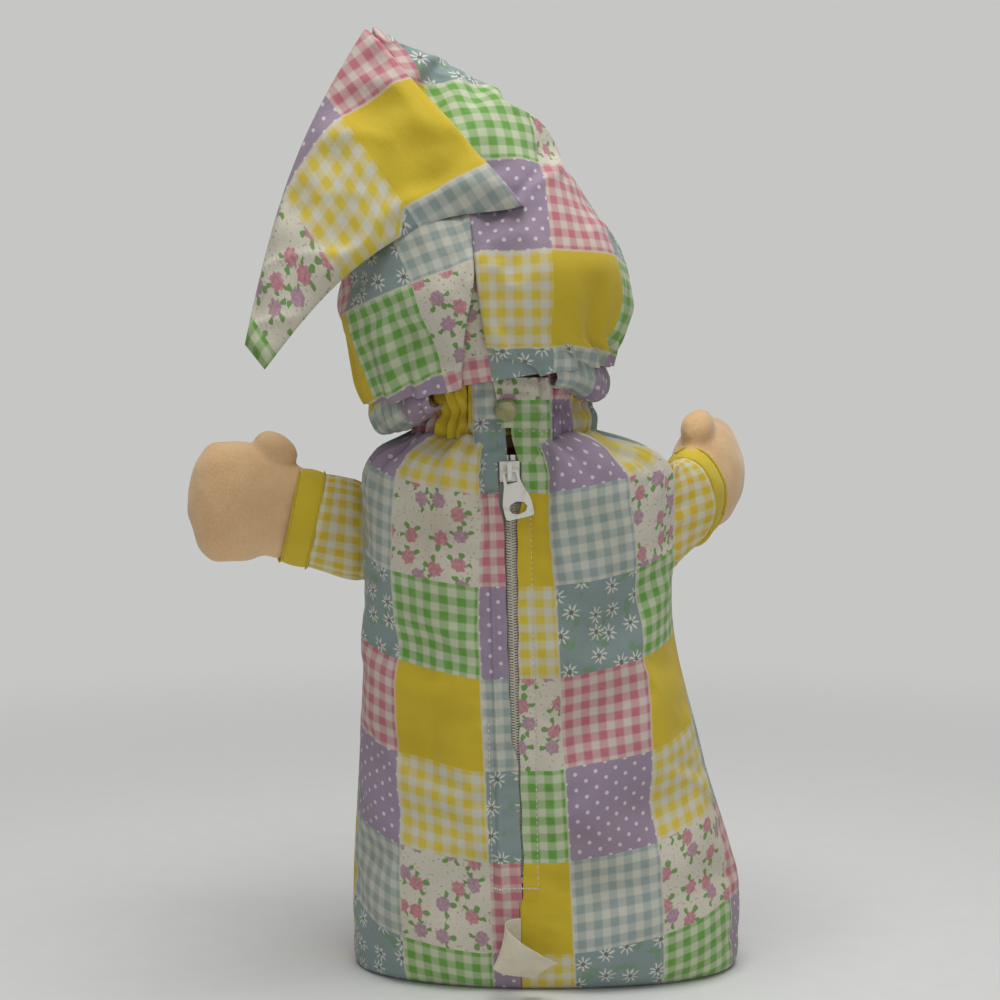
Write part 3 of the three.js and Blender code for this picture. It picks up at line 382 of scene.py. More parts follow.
# %% The printed cloth
def printed_patchwork():
    cloth = Finish("patchwork_cotton")
    place = cloth.place()
    u, v, _ = cloth.parts(place)
    column, row = u.floor(), v.floor()
    across, up = u - column, v - row
    warm = column % 2.0
    shift = ((column * 0.5).floor() % 2.0) * 2.0
    kind = ((shift - row) % 4.0 + (1 - warm) * 4.0 + 0.5) / 8.0
    ramp = "ShaderNodeValToRGB"
    ground = cloth.node(ramp, {"stops": stops_of(print_grounds)}, {0: kind})
    ink = cloth.node(ramp, {"stops": stops_of(print_inks)}, {0: kind})
    greys = [(float(mark),) * 3 + (1.0,) for mark in check_prints]
    is_check = cloth.node(ramp, {"stops": stops_of(greys)}, {0: kind})

    def only(index):
        return (kind * 8.0 - index - 0.5).size() < 0.25

    def spot(a, b):
        x = (a % 1.0 - 0.5) * (square / dots_across)
        y = (b % 1.0 - 0.5) * (square / dots_up)
        return x * x + y * y
    dots_x, dots_y = across * dots_across, up * dots_up
    dot = spot(dots_x, dots_y).least(spot(dots_x + 0.5, dots_y + 0.5)).ease(1.1, 0.5)

    fray_u, fray_v = ((cloth.noise(place, scale) - 0.5) * 0.05 for scale in (15.0, 19.0))
    ragged = cloth.join(u + fray_u, v + fray_v)
    reach, angle, chance = flower(cloth, ragged, daisies_in_square, 0.62)
    petals = (angle * 4.0 + chance[0] * turn).math("COSINE").size() - reach.ease(1.0, 4.6) * 0.42
    daisy = petals.ease(0.5, 0.68) * reach.ease(4.7, 4.1) * reach.ease(0.7, 1.2)
    middle = reach.ease(1.3, 0.9) * 0.75
    ferns = cloth.noise(place, 5.2, 2.0).ease(0.56, 0.66) * 0.42

    inked = is_check * check_level(across, up) + only(4) * dot + only(6) * daisy
    worn_ink = inked * (cloth.noise(place, 9.0, 2.0) * 0.3 + 0.82)
    fern_ground = cloth.mix(ferns * only(6), ground, leaf_green)
    color = cloth.mix(worn_ink, fern_ground, ink)
    color = cloth.mix(middle * only(6), color, srgb(122, 112, 104))

    reach, angle, chance = flower(cloth, ragged, roses_in_square, 0.66)
    edge = (angle * 7.0).math("COSINE") * 0.3 + 3.3
    bloom = (reach - edge).ease(0.35, -0.35) * 0.9
    lean = angle - chance[0] * turn
    leaflet = (lean * 5.0).math("COSINE") - (reach - 4.6).size().ease(0.6, 2.8) * 1.3
    leaf = leaflet.ease(0.1, 0.4) * (lean.math("COSINE") > 0.2) * 0.9
    speck = cloth.noise(place, 34.0, 0.0).ease(0.70, 0.76) * 0.6
    petal_tone = cloth.mix(chance[1].ease(0.45, 0.55), rose_pink, rose_mauve)
    mottle = cloth.noise(place, 26.0, 2.0).ease(0.4, 0.62) * 0.55
    petal_tone = cloth.mix(mottle, petal_tone, srgb(216, 168, 176))
    rose_cloth = only(1)
    color = cloth.mix(speck * rose_cloth, color, srgb(150, 132, 112))
    color = cloth.mix(leaf * rose_cloth, color, leaf_green)
    color = cloth.mix(bloom * rose_cloth, color, petal_tone)

    edge_line = across.least(1 - across).ease(0.016, 0.008) * 0.55
    color = cloth.mix(edge_line, color, srgb(226, 222, 208))
    age = cloth.noise(place, 0.9, 3.0).ease(0.35, 0.75)
    color = cloth.mix(age * 0.22 + 0.08, color, srgb(200, 186, 146), "MULTIPLY")
    return woven_surface(cloth, place, u, v, color)


patchwork = printed_patchwork()
print("patchwork nodes:", len(patchwork.node_tree.nodes))

# %% [markdown]
# ## The other finishes
# Sleeves are one check and cuffs one plain yellow, woven like the rest. Hands are brushed fleece: soft
# colour patches, a nap of fine noise and a sheen that lifts the rim. The zip is white enamel over metal
# with a nylon coil, and the neck closes with a dull brass snap.

# %% Plain cotton, check and fleece
def plain_cotton(name, color):
    cloth = Finish(name)
    place = cloth.place()
    u, v, _ = cloth.parts(place)
    age = cloth.noise(place, 1.3, 3.0).ease(0.35, 0.8)
    tone = cloth.mix(age * 0.2, color, cotton_wear, "MULTIPLY")
    return woven_surface(cloth, place, u, v, tone)


def yellow_check():
    cloth = Finish("yellow_gingham")
    place = cloth.place()
    u, v, _ = cloth.parts(place)
    level = check_level(u, v) * (cloth.noise(place, 9.0) * 0.3 + 0.82)
    tone = cloth.mix(level, srgb(226, 222, 196), srgb(224, 192, 44))
    return woven_surface(cloth, place, u, v, tone)


def brushed_fleece():
    cloth = Finish("peach_fleece")
    where = cloth.node("ShaderNodeTexCoord", None, None, out="Object")
    patches = cloth.noise(where, 45.0, 3.0)
    nap = cloth.noise(where, 900.0, 4.0)
    pills = cloth.noise(where, 300.0, 3.0)
    tone = cloth.mix(patches.ease(0.35, 0.65), srgb(228, 184, 134), srgb(236, 197, 149))
    tone = cloth.mix(nap.ease(0.3, 0.75) * 0.35, tone, srgb(246, 216, 176))
    soft = cloth.bump(patches, 0.3, 0.003)
    soft = cloth.bump(pills, 0.4, 0.0008, soft)
    soft = cloth.bump(nap, 0.5, 0.0005, soft)
    return cloth.surface(base_color=tone, roughness=pills * 0.1 + 0.86, normal=soft,
                         sheen_weight=0.5, sheen_roughness=0.4, specular_ior_level=0.15)


yellow_cotton = plain_cotton("yellow_cotton", daffodil)
red_cotton = plain_cotton("red_lining", srgb(128, 28, 30))
tape_cotton = plain_cotton("zip_tape", srgb(206, 203, 190))
label_cotton = plain_cotton("label_cloth", srgb(228, 221, 198))
gingham = yellow_check()
fleece = brushed_fleece()
print("soft finishes:", yellow_cotton.name, gingham.name, fleece.name)

# %% Hard finishes and threads
def hard_finish(name, color, worn, rough, metallic=0.0, coat=0.0):
    made = Finish(name)
    where = made.node("ShaderNodeTexCoord", None, None, out="Object")
    marks = made.noise(where, 180.0, 4.0)
    scuffs = marks.ease(0.52, 0.72)
    tone = made.mix(scuffs * 0.6, color, worn)
    return made.surface(base_color=tone, roughness=scuffs * 0.25 + rough, metallic=metallic,
                        coat_weight=coat, normal=made.bump(marks, 0.12, 0.0004))


def spun_thread(name, color, shade):
    made = Finish(name)
    where = made.node("ShaderNodeTexCoord", None, None, out="Object")
    strands = made.noise(where, 1400.0, 2.0)
    tone = made.mix(strands.ease(0.35, 0.65), shade, color)
    return made.surface(base_color=tone, roughness=0.85, normal=made.bump(strands, 0.5, 0.0004),
                        sheen_weight=0.2)


enamel = hard_finish("white_enamel", srgb(232, 231, 222), srgb(196, 192, 178), 0.3, 0.0, 0.3)
nylon = hard_finish("nylon_coil", srgb(214, 209, 194), srgb(188, 180, 162), 0.45)
brass = hard_finish("dull_brass", srgb(150, 148, 100), srgb(112, 112, 66), 0.36, 0.25, 0.4)
white_thread = spun_thread("white_thread", srgb(236, 232, 220), srgb(200, 194, 178))
yellow_elastic = spun_thread("yellow_elastic", srgb(206, 180, 62), srgb(150, 128, 52))
brown_thread = spun_thread("brown_thread", srgb(84, 58, 44), srgb(52, 34, 26))
rose_thread = spun_thread("rose_thread", srgb(196, 104, 108), srgb(150, 70, 78))
print("finishes:", len(bpy.data.materials))

# %% [markdown]
# ## Cloth from grids
# Every panel of the doll is a rectangle of cloth that follows a form: it can be written as rows and
# columns of points, each with its place on the printed bolt. A grid is easy to wrinkle with sums, its
# edges can be pinned, and Blender's cloth solver can relax it. The solver does the last part here: the
# cloth is given a little more size than its pinned border leaves it, so it buckles into real creases.

# %% Sums on arrays
def mix(low, high, part):
    return low + (high - low) * part


def ease(start, end, place):
    part = np.clip((np.asarray(place, float) - start) / (end - start), 0, 1)
    return part * part * (3 - 2 * part)


def curve(stops):
    """A smooth curve through (place, size) stops that never overshoots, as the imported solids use."""
    places, sizes = np.array(stops, float).T
    rise = np.diff(sizes) / np.diff(places)
    before = np.concatenate([rise[:1], rise])
    after = np.concatenate([rise, rise[-1:]])
    both = before * after
    total = np.where(before + after == 0, 1, before + after)
    slope = np.where(both <= 0, 0, 2 * both / total)

    def at(place):
        place = np.asarray(place, float)
        part = np.clip(np.searchsorted(places, place, side="right") - 1, 0, len(places) - 2)
        span = places[part + 1] - places[part]
        t = np.clip((place - places[part]) / span, 0, 1)
        bow = slope[part] * t * (1 - t) ** 2 - slope[part + 1] * t * t * (1 - t)
        return mix(sizes[part], sizes[part + 1], t * t * (3 - 2 * t)) + span * bow
    return at


def swell(points, size, seed):
    """Smooth dents about `size` across, from a few crossing waves; between -1 and 1."""
    random = np.random.default_rng(seed)
    total = np.zeros(points.shape[:-1])
    waves = 7
    for _ in range(waves):
        way = random.normal(size=3)
        way *= turn / (size * random.uniform(0.8, 1.4) * np.linalg.norm(way))
        total += np.sin(points @ way + random.uniform(0, turn))
    return total / math.sqrt(waves * 2)


def creases(points, size, seed, sharp=0.2):
    """Thin raised lines, in patches, as cotton keeps after it has been crumpled; from 0 to about 1."""
    line = np.exp(-(swell(points, size, seed) / sharp) ** 2)
    return line * np.clip(0.5 + 0.8 * swell(points, size * 2, seed + 500), 0, 1)


def grid_normals(points):
    down, along = np.gradient(points, axis=0), np.gradient(points, axis=1)
    normal = np.cross(along, down)
    return normal / np.maximum(np.linalg.norm(normal, axis=-1, keepdims=True), 1e-9)


def run_length(points):
    """Distance along each row of a grid from its first column."""
    step = np.linalg.norm(np.diff(points, axis=1), axis=-1)
    return np.concatenate([np.zeros((len(points), 1)), np.cumsum(step, axis=1)], axis=1)


print("half way between 0 and 2:", float(curve([(0, 0), (1, 2)])(0.5)))


def cut_size(points, closed):
    """Greatest width and length of a grid laid flat, and its area, in metres."""
    grid = np.concatenate([points, points[:, :1]], axis=1) if closed else points
    across, down = np.diff(grid, axis=1), np.diff(grid, axis=0)
    width = np.linalg.norm(across, axis=-1).sum(axis=1).max()
    length = np.linalg.norm(down, axis=-1).sum(axis=0).max()
    area = np.linalg.norm(np.cross(across[:-1], down[:, :-1]), axis=-1).sum()
    return width * mm, length * mm, area * mm * mm


def cloth_mesh(name, points, cells, finish, closed=False):
    """A mesh object from rows of points in millimetres, with cells as its place on the bolt."""
    rows, columns = points.shape[:2]
    spans = columns if closed else columns - 1
    faces, uvs = [], []
    for r in range(rows - 1):
        for c in range(spans):
            corners = [(r, c), (r, c + 1), (r + 1, c + 1), (r + 1, c)]
            faces.append([row * columns + column % columns for row, column in corners])
            uvs.extend(cells[row, column] for row, column in corners)
    mesh = bpy.data.meshes.new(name)
    mesh.from_pydata(points.reshape(-1, 3) * mm, [], faces)
    layer = mesh.uv_layers.new(name="cloth")
    layer.data.foreach_set("uv", np.array(uvs, float).ravel())
    mesh.shade_smooth()
    mesh.materials.append(finish)
    made = bpy.data.objects.new(name, mesh)
    scene.collection.objects.link(made)
    cut_size(points, closed)
    return made


def apply_modifiers(piece):
    """Replace a piece's mesh by what its modifiers make of it."""
    shaped = piece.evaluated_get(bpy.context.evaluated_depsgraph_get())
    mesh = bpy.data.meshes.new_from_object(shaped)
    piece.modifiers.clear()
    piece.data = mesh


def thicken(piece, thickness, levels=1, offset=-1.0):
    """Finer faces and two sides for a cloth, with its rim closed."""
    if levels:
        finer = piece.modifiers.new("finer", "SUBSURF")
        finer.levels = finer.render_levels = levels
        finer.boundary_smooth = "PRESERVE_CORNERS"
    sides = piece.modifiers.new("sides", "SOLIDIFY")
    sides.thickness = thickness * mm
    sides.offset = offset
    apply_modifiers(piece)


print("grids are written in mm; one is", mm, "m")

# %% Letting the cloth buckle
cloth_frames = 22


def border_pins(rows, columns):
    """The edges of a panel are sewn, so the solver leaves them where they are."""
    pins = np.zeros((rows, columns))
    pins[[0, -1]] = 1
    pins[:, [0, -1]] = 1
    return pins


def buckle(piece, pins, growth, pressure, limit=6.0):
    """Grow a pinned cloth by a share of its size and let the solver find its creases."""
    group = piece.vertex_groups.new(name="pinned")
    for index, weight in enumerate(np.asarray(pins).ravel()):
        if weight > 0:
            group.add([index], float(weight), "REPLACE")
    start = np.array([vertex.co for vertex in piece.data.vertices])
    modifier = piece.modifiers.new("cloth", "CLOTH")
    settings = modifier.settings
    settings.vertex_group_mass = "pinned"
    settings.quality = 6
    settings.mass = 0.15
    settings.shrink_min = -growth
    settings.tension_stiffness = settings.compression_stiffness = 15
    settings.shear_stiffness = 5
    settings.bending_stiffness = 4
    settings.use_pressure = True
    settings.uniform_pressure_force = pressure
    settings.effector_weights.gravity = 0
    settings.air_damping = 3
    modifier.collision_settings.use_collision = False
    modifier.point_cache.frame_end = cloth_frames
    for number in range(1, cloth_frames + 1):
        scene.frame_set(number)
    shaped = piece.evaluated_get(bpy.context.evaluated_depsgraph_get())
    moved = np.array([vertex.co for vertex in shaped.data.vertices])
    scene.frame_set(1)
    piece.modifiers.clear()
    piece.vertex_groups.clear()
    step = moved - start
    far = np.linalg.norm(step, axis=1, keepdims=True) / (limit * mm)
    step /= np.maximum(far, 1)
    piece.data.vertices.foreach_set("co", (start + step).ravel())
    piece.data.update()
    print(piece.name, "buckled by up to", round(float(np.linalg.norm(step, axis=1).max()) / mm, 1), "mm")


print("solver frames:", cloth_frames)

# %% [markdown]
# ## The sack
# The sack is a long stuffed bag. Its back is two panels that meet at a zip in a valley: at the chest the
# stuffed cloth stands over that valley in two soft lobes, and below it flattens out. A sculptor would push
# these in by hand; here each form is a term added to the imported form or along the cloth's normal, because
# the same terms then shape both sides. The solver adds the small creases.

# %% Form of the sack
neck_z, shoulder_z, chest_z, hip_z = 264, 243, 182, 30
zip_foot, zip_head = 56, 252
seam_half = 0.15
cloth_gauge = 1.4
side_names = {-1: "left", 1: "right"}


def sack_form(base, hip, chest, neck):
    shoulder_turn = mix(shoulder_z, neck_z, 0.55)
    return curve([(0, base), (hip_z * 0.25, mix(base, hip, 0.6)), (hip_z, hip),
                  (mix(hip_z, chest_z, 0.5), mix(hip, chest, 0.55)), (chest_z, chest), (shoulder_z, chest),
                  (shoulder_turn, mix(chest, neck, 0.27)), (neck_z, neck)])


sack_half = sack_form(94.5, 96.5, 76, 44)
sack_back = sack_form(46, 53, 47, 40)
sack_front = sack_form(44, 49, 44, 38)
sack_drift = sack_form(9, 9, -5, -12)
side_fullness, back_fullness = 0.92, 0.85


def along_zip(z):
    return (z - zip_foot) / (zip_head - zip_foot)


def zip_x(z):
    return mix(-5, -9.6, along_zip(z))


def zip_y(z):
    return -mix(51.5, 40.5, along_zip(z))


def back_round(z, x):
    reach = np.minimum(np.abs(x - sack_drift(z)) / sack_half(z), 1) ** (1 / side_fullness)
    return sack_back(z) * np.sqrt(1 - reach * reach) ** back_fullness


def dent(z, x):
    """How far the stuffed cloth sinks in: crossing waves, faded at the hem, shoulders and side seams."""
    waves = [(0.0088, 0.0167, 0.1), (-0.0156, 0.0099, 0.33), (-0.0032, 0.0204, 0.64)]
    sunk = [0.5 + 0.5 * np.sin(turn * (across * x + up * z + start)) for across, up, start in waves]
    reach = np.minimum(np.abs(x - sack_drift(z)) / sack_half(z), 1)
    deep = 7 * np.mean(sunk, axis=0) * ease(hip_z, zip_foot, z)
    return deep * ease(shoulder_z, chest_z, z) * (1 - reach ** 4)


def back_y(z, x, inner, flank, lobe=0):
    """The sack's back at a height and place: rounded, and pressed into a valley along the zip."""
    valley = (1 - ease(inner, inner + flank, np.abs(x - zip_x(z)))) * ease(32, 44, z)
    return mix(dent(z, x) - back_round(z, x) - lobe, zip_y(z), valley) - seam_half


print("sack at the chest:", round(2 * float(sack_half(chest_z))), "mm wide")

# %% Where a back panel lies on the bolt
row_top, row_height = 238.5, 43.5


def strip_edge(z, side):
    """Distance from the zip to the first line between printed columns."""
    settled = (np.minimum(z, 232) - 25) / 172
    return mix(25, 20, settled) if side > 0 else mix(13.5, 16.5, settled)


def printed_column(run, edge, side):
    """Columns count outwards from the strip beside the zip, which ends at an edge."""
    across = (run - edge) / square
    return 4 + across if side > 0 else 2 - across


def panel_cells(run, z, side):
    """Rows count from the neck and rise towards the side seams."""
    rise = np.interp(run, [0, 18, 62, 105], [0, 0, 7, 18])
    row = (z - row_top + 1.5 - rise) / row_height
    return np.stack([printed_column(run, strip_edge(z, side), side), row], axis=-1)


print("printed rows up the sack:", round(row_top / row_height, 1))


# %% Back panels
sack_rows, sack_columns = 76, 60


def back_panel(side):
    z = np.linspace(0.6, neck_z, sack_rows)[:, None] * np.ones((1, sack_columns))
    part = np.linspace(0, 1, sack_columns)[None, :] * np.ones((sack_rows, 1))
    slot = mix(seam_half, 5.5, ease(44, 52, z))
    start = zip_x(z) + side * slot
    end = sack_drift(z) + side * sack_half(z)
    x = mix(start, end, 0.3 * part + 0.7 * np.sin(part * math.pi / 2))
    away = np.abs(x - zip_x(z))
    chest = ease(140, 222, z)
    lobe = 4.2 * np.exp(-((away - 31) / 15) ** 2) * ease(110, 212, z) * ease(264, 252, z)
    inner = mix(14, 11.5 if side < 0 else 18, chest)
    points = np.stack([x, back_y(z, x, inner, mix(16, 3.4, chest), lobe), z], axis=-1)
    run = run_length(points) + slot
    level = int(np.argmin(np.abs(z[:, 0] - 232)))
    run[level:] = run[level]
    cells = panel_cells(run, z, side)
    outward = grid_normals(points) * side
    border = ease(0, 0.06, part) * ease(1, 0.9, part) * ease(0, 10, z)
    folds = np.sin(part * turn * 4.3 + 2.2 * np.sin(part * 9 + z * 0.02) + 0.9 * side)
    gathers = folds * ease(214, 262, z) * ease(0.12, 0.3, part)
    crease = np.exp(-((away - 51) / 4.5) ** 2) * ease(222, 250, z)
    seam_pucker = np.sin(z * turn / 12.5 + 1.7 * np.sin(z * 0.11)) * ease(0.78, 0.97, part)
    strip_pucker = np.sin(z * turn / 9.5 + 1.3 * np.sin(z * 0.17)) * np.exp(-((away - 15) / 5) ** 2)
    dents = swell(points, 30, 21 + side) * 0.6
    lift = 2.2 * gathers - 3.0 * crease + 0.7 * seam_pucker + 0.4 * strip_pucker
    lift = lift + (dents + 1.3 * creases(points, 64, 25 + side)) * ease(14, 34, away)
    if side < 0:
        lift = lift + 2.0 * ease(8.2, 10.8, away) * ease(40, 26, away) * ease(60, 74, z) * ease(246, 228, z)
    points = points + outward * (lift * border)[..., None]
    pins = border_pins(sack_rows, sack_columns)
    pins[away < 12] = 1
    if side < 0:
        points, cells, pins = points[:, ::-1], cells[:, ::-1], pins[:, ::-1]
    piece = cloth_mesh("back_panel_" + side_names[side], points, cells, patchwork)
    buckle(piece, pins, 0.02, 5.0, limit=4.5)
    thicken(piece, cloth_gauge, 1)
    return piece


back_right = back_panel(1)
back_left = back_panel(-1)
print("back panels:", len(back_right.data.polygons), "faces each")

# %% Front and base
def front_panel():
    rows, columns = 70, 76
    z = np.linspace(0.6, neck_z, rows)[:, None] * np.ones((1, columns))
    angle = np.linspace(math.pi / 2, 3 * math.pi / 2, columns)[None, :] * np.ones((rows, 1))
    sine = np.sin(angle)
    x = sack_drift(z) + sack_half(z) * np.sign(sine) * np.abs(sine) ** side_fullness
    y = sack_front(z) * np.maximum(-np.cos(angle), 0) - dent(z, x) + seam_half
    points = np.stack([x, y, z], axis=-1)
    run = run_length(points)
    run = run - run[:, columns // 2][:, None]
    level = int(np.argmin(np.abs(z[:, 0] - 226)))
    run[level:] = run[level]
    cells = np.stack([0.5 + run / square, (z - row_top) / row_height], axis=-1)
    outward = grid_normals(points)
    part = np.linspace(0, 1, columns)[None, :]
    border = ease(0, 0.05, part) * ease(1, 0.95, part) * ease(0, 10, z)
    folds = np.sin(part * turn * 9.5 + 2.0 * np.sin(part * 14)) * ease(206, 262, z)
    pucker = np.sin(z * turn / 12.5) * (ease(0.1, 0.0, part) + ease(0.9, 1.0, part))
    dents = swell(points, 30, 32) * 0.6 + 1.3 * creases(points, 64, 33)
    points = points + outward * ((dents + 2.2 * folds + 0.7 * pucker) * border)[..., None]
    piece = cloth_mesh("front_panel", points, cells, patchwork)
    buckle(piece, border_pins(rows, columns), 0.02, 5.0, limit=4.5)
    thicken(piece, cloth_gauge, 1)
    return piece


def base_panel():
    rings, around = 9, 72
    angle = np.linspace(0, turn, around + 1)[None, :] * np.ones((rings, 1))
    grow = np.linspace(0.04, 1, rings)[:, None]
    sine, cosine = np.sin(angle), -np.cos(angle)
    half, back, front, drift = (float(form(0)) for form in (sack_half, sack_back, sack_front, sack_drift))
    x = drift + (half - 2.0) * np.sign(sine) * np.abs(sine) ** side_fullness * grow
    y = np.where(cosine < 0, back - 2.0, front - 2.0) * cosine * grow
    crown = 1.5 + 1.2 * (1 - grow ** 2) * np.ones_like(angle)
    points = np.stack([x, y, crown], axis=-1)
    cells = np.stack([x / square, y / square], axis=-1)
    piece = cloth_mesh("base_panel", points[::-1, :-1], cells[::-1], yellow_cotton, closed=True)
    rim_x, rim_y = x[-1], y[-1]
    area = 0.5 * abs(float(np.sum(rim_x[:-1] * rim_y[1:] - rim_x[1:] * rim_y[:-1])))
    thicken(piece, 1.2, 1)
    return piece


front = front_panel()
base = base_panel()
print("front and base:", len(front.data.polygons), len(base.data.polygons))

# %% [markdown]
# ## The red inner body
# In the gap above the zip slider a deep red stuffed body shows. It fills the sack, so it is one closed
# bag on the sack's form, drawn in by the thickness of the cloth and pressed back behind the zip.

# %% Inner body
def closed_cells(points):
    """A plain place on the bolt for a closed piece: around it, and up it."""
    run = run_length(np.concatenate([points, points[:, :1]], axis=1)) / square
    up = np.linspace(0, np.linalg.norm(points[0, 0] - points[-1, 0]) / square, len(points))[:, None]
    return np.stack([run, up * np.ones_like(run)], axis=-1)


def inner_body():
    rows, around, inset = 44, 64, 8.5
    z = np.linspace(4, 261.5, rows)[:, None] * np.ones((1, around))
    angle = np.linspace(0, turn, around, endpoint=False)[None, :] * np.ones((rows, 1))
    sine, cosine = np.sin(angle), -np.cos(angle)
    close = np.sqrt(1 - (1 - ease(4, 12, z)) ** 2 + 1e-4) * mix(1, 0.46, ease(250, 261.5, z))
    x = sack_drift(z) + (sack_half(z) - inset) * np.sign(sine) * np.abs(sine) ** side_fullness * close
    front_y = (sack_front(z) - inset) * cosine - dent(z, x)
    rear_y = np.maximum(back_y(z, x, 17, 14) + inset - 1.5, zip_y(z) + 7.0)
    points = np.stack([x, np.where(cosine < 0, rear_y, front_y) * close, z], axis=-1)
    points[:, :, 1] += swell(points, 40, 41) * 0.6
    return cloth_mesh("inner_body", points, closed_cells(points), red_cotton, closed=True)


body = inner_body()
print("inner body:", len(body.data.polygons), "faces")

# %% [markdown]
# ## The zip
# A nylon coil zip is two flat spirals sewn on woven tape. A bumpy strip would do from far off, but the
# spiral is easy to write: one turn per tooth, flattened to the coil's width. Slider, pull and stops are
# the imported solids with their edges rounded, because their shape is already right.

# %% Zip frame, tapes and coils
def zip_place(z):
    return np.array([float(zip_x(z)), float(zip_y(z)) + 2.8 - seam_half, z])


zip_origin = zip_place(zip_foot)
zip_up = zip_place(zip_head) - zip_origin
zip_length = float(np.linalg.norm(zip_up))
zip_up /= zip_length
zip_across = np.array([1.0, 0, 0]) - zip_up * zip_up[0]
zip_across /= np.linalg.norm(zip_across)
zip_inward = np.cross(zip_up, zip_across)


def on_zip(x, y, z):
    x, y, z = (np.asarray(value, float)[..., None] for value in (x, y, z))
    return zip_origin + x * zip_across + y * zip_inward + z * zip_up


def tube(path, radius, sides):
    """A grid of rings round a path; the rings turn with it and the tube is open at its ends."""
    path = np.asarray(path, float)
    ahead = np.gradient(path, axis=0)
    ahead /= np.linalg.norm(ahead, axis=1, keepdims=True)
    guide = np.where(np.abs(ahead[:, 2:]) > 0.9, [[1.0, 0, 0]], [[0, 0, 1.0]])
    side = np.cross(ahead, guide)
    side /= np.linalg.norm(side, axis=1, keepdims=True)
    rise = np.cross(side, ahead)
    angle = np.linspace(0, turn, sides, endpoint=False)[None, :, None]
    radius = np.broadcast_to(np.asarray(radius, float), len(path))[:, None, None]
    return path[:, None] + radius * (np.cos(angle) * side[:, None] + np.sin(angle) * rise[:, None])


def zip_tape(side):
    z = np.linspace(-3, zip_length + 3, 60)[:, None] * np.ones((1, 7))
    x = side * np.linspace(0.1, 12.6, 7)[None, :] * np.ones((60, 1))
    points = on_zip(x, 0.1 * np.sin(z * 1.1), z)
    if side < 0:
        points = points[:, ::-1]
    cells = np.stack([x / square * 4, z / square * 4], axis=-1)
    piece = cloth_mesh("zip_tape_cloth_" + side_names[side], points, cells, tape_cotton)
    thicken(piece, 0.7, 1)
    return piece


tooth_pitch = 1.3


def zip_spiral(side):
    teeth = int(zip_length / tooth_pitch)
    steps = 10
    along = np.linspace(0.6, zip_length - 0.6, teeth * steps)
    angle = along / tooth_pitch * turn + (math.pi if side > 0 else 0)
    x = side * (1.15 + 1.5 * np.cos(angle))
    y = -1.3 + 0.62 * np.sin(angle)
    path = on_zip(x, y, along)
    points = tube(path, 0.4, 6)
    cells = closed_cells(points)
    return cloth_mesh("zip_spiral_" + side_names[side], points, cells, nylon, closed=True)


zip_tapes = {side: zip_tape(side) for side in (-1, 1)}
zip_spirals = {side: zip_spiral(side) for side in (-1, 1)}
print("zip spirals:", len(zip_spirals[1].data.polygons), "faces each")

# %% Flaps beside the coil
flap_foot, flap_head = 40.0, 238.0
flap_edge = {
    -1: curve([(40, 1.2), (108, 0.9), (122, -2.0), (180, -3.0), (224, -3.4), (231, -5.0), (238, -6.2)]),
    1: curve([(40, 1.0), (60, 2.2), (118, 1.6), (140, 1.9), (180, 2.4), (222, 3.0), (231, 4.8), (238, 6.2)]),
}
flap_root = {-1: -11.5, 1: 9.8}


def zip_flap(side):
    """A strip of the panel's cloth that lies over the coil, folded back at its free edge."""
    rows, columns = 110, 16
    z = np.linspace(flap_foot, flap_head, rows)[:, None] * np.ones((1, columns))
    part = np.linspace(0, 1, columns)[None, :]
    beside = mix(flap_root[side], flap_edge[side](z), part)
    ridge = 2.3 * np.exp(-((part - 0.26) / 0.16) ** 2) if side < 0 else 0.25 * np.sin(part * math.pi)
    pucker = 0.25 * np.sin(z * turn / 8.5 + 1.5 * np.sin(z * 0.13)) * np.sin(part * math.pi)
    edge_wave = 0.35 * np.sin(z * turn / 21 + 0.6 * side) * part
    x = zip_x(z) + beside + edge_wave * 0.6
    height = 0.75 + ridge + pucker - 0.5 * ease(0.18, 0, part)
    height = mix(-1.2, height, ease(flap_foot, flap_foot + 9, z))
    points = np.stack([x, zip_y(z) - seam_half - height, z], axis=-1)
    cells = panel_cells(np.abs(beside), z, side)
    if side > 0:
        points, cells = points[:, ::-1], cells[:, ::-1]
    piece = cloth_mesh("zip_flap_" + side_names[side], points, cells, patchwork)
    thicken(piece, 0.7, 1)
    return piece


flaps = {side: zip_flap(side) for side in (-1, 1)}
print("flaps:", [flap.name for flap in flaps.values()])

# %% Zip metal
def round_edges(node, finish, width=0.25):
    piece = frame["nodes"][node]
    piece.data.materials.clear()
    piece.data.materials.append(finish)
    bevel = piece.modifiers.new("rounded", "BEVEL")
    bevel.width = width * mm
    bevel.segments = 3
    bevel.limit_method = "ANGLE"
    return piece


for node in ("zip_slider", "zip_pull", "zip_top_stop_left", "zip_top_stop_right", "zip_bottom_stop"):
    round_edges(node, enamel)
print("zip metal rounded")

# %% [markdown]
# ## Neck opening
# Above the zip the two plackets meet under a tab with a snap, and the rest of the neck is gathered on an
# elastic. The gathers are a strip of the same cloth, so the printed columns run on from the panels.

# %% Plackets, tab and snap
placket_top, gap_foot = neck_z + 27.5, neck_z - 12.5
placket_face = float(zip_y(neck_z)) - seam_half
tab_face = placket_face - 3.1
neck_strip = {-1: 16.5, 1: 20.0}


def flat_cells(x, z, side, lift):
    """The printed columns of the zip strips, carried on above the sack."""
    column = printed_column(np.abs(x - zip_x(z)), neck_strip[side], side)
    return np.stack([column, (z - row_top + lift) / row_height], axis=-1)


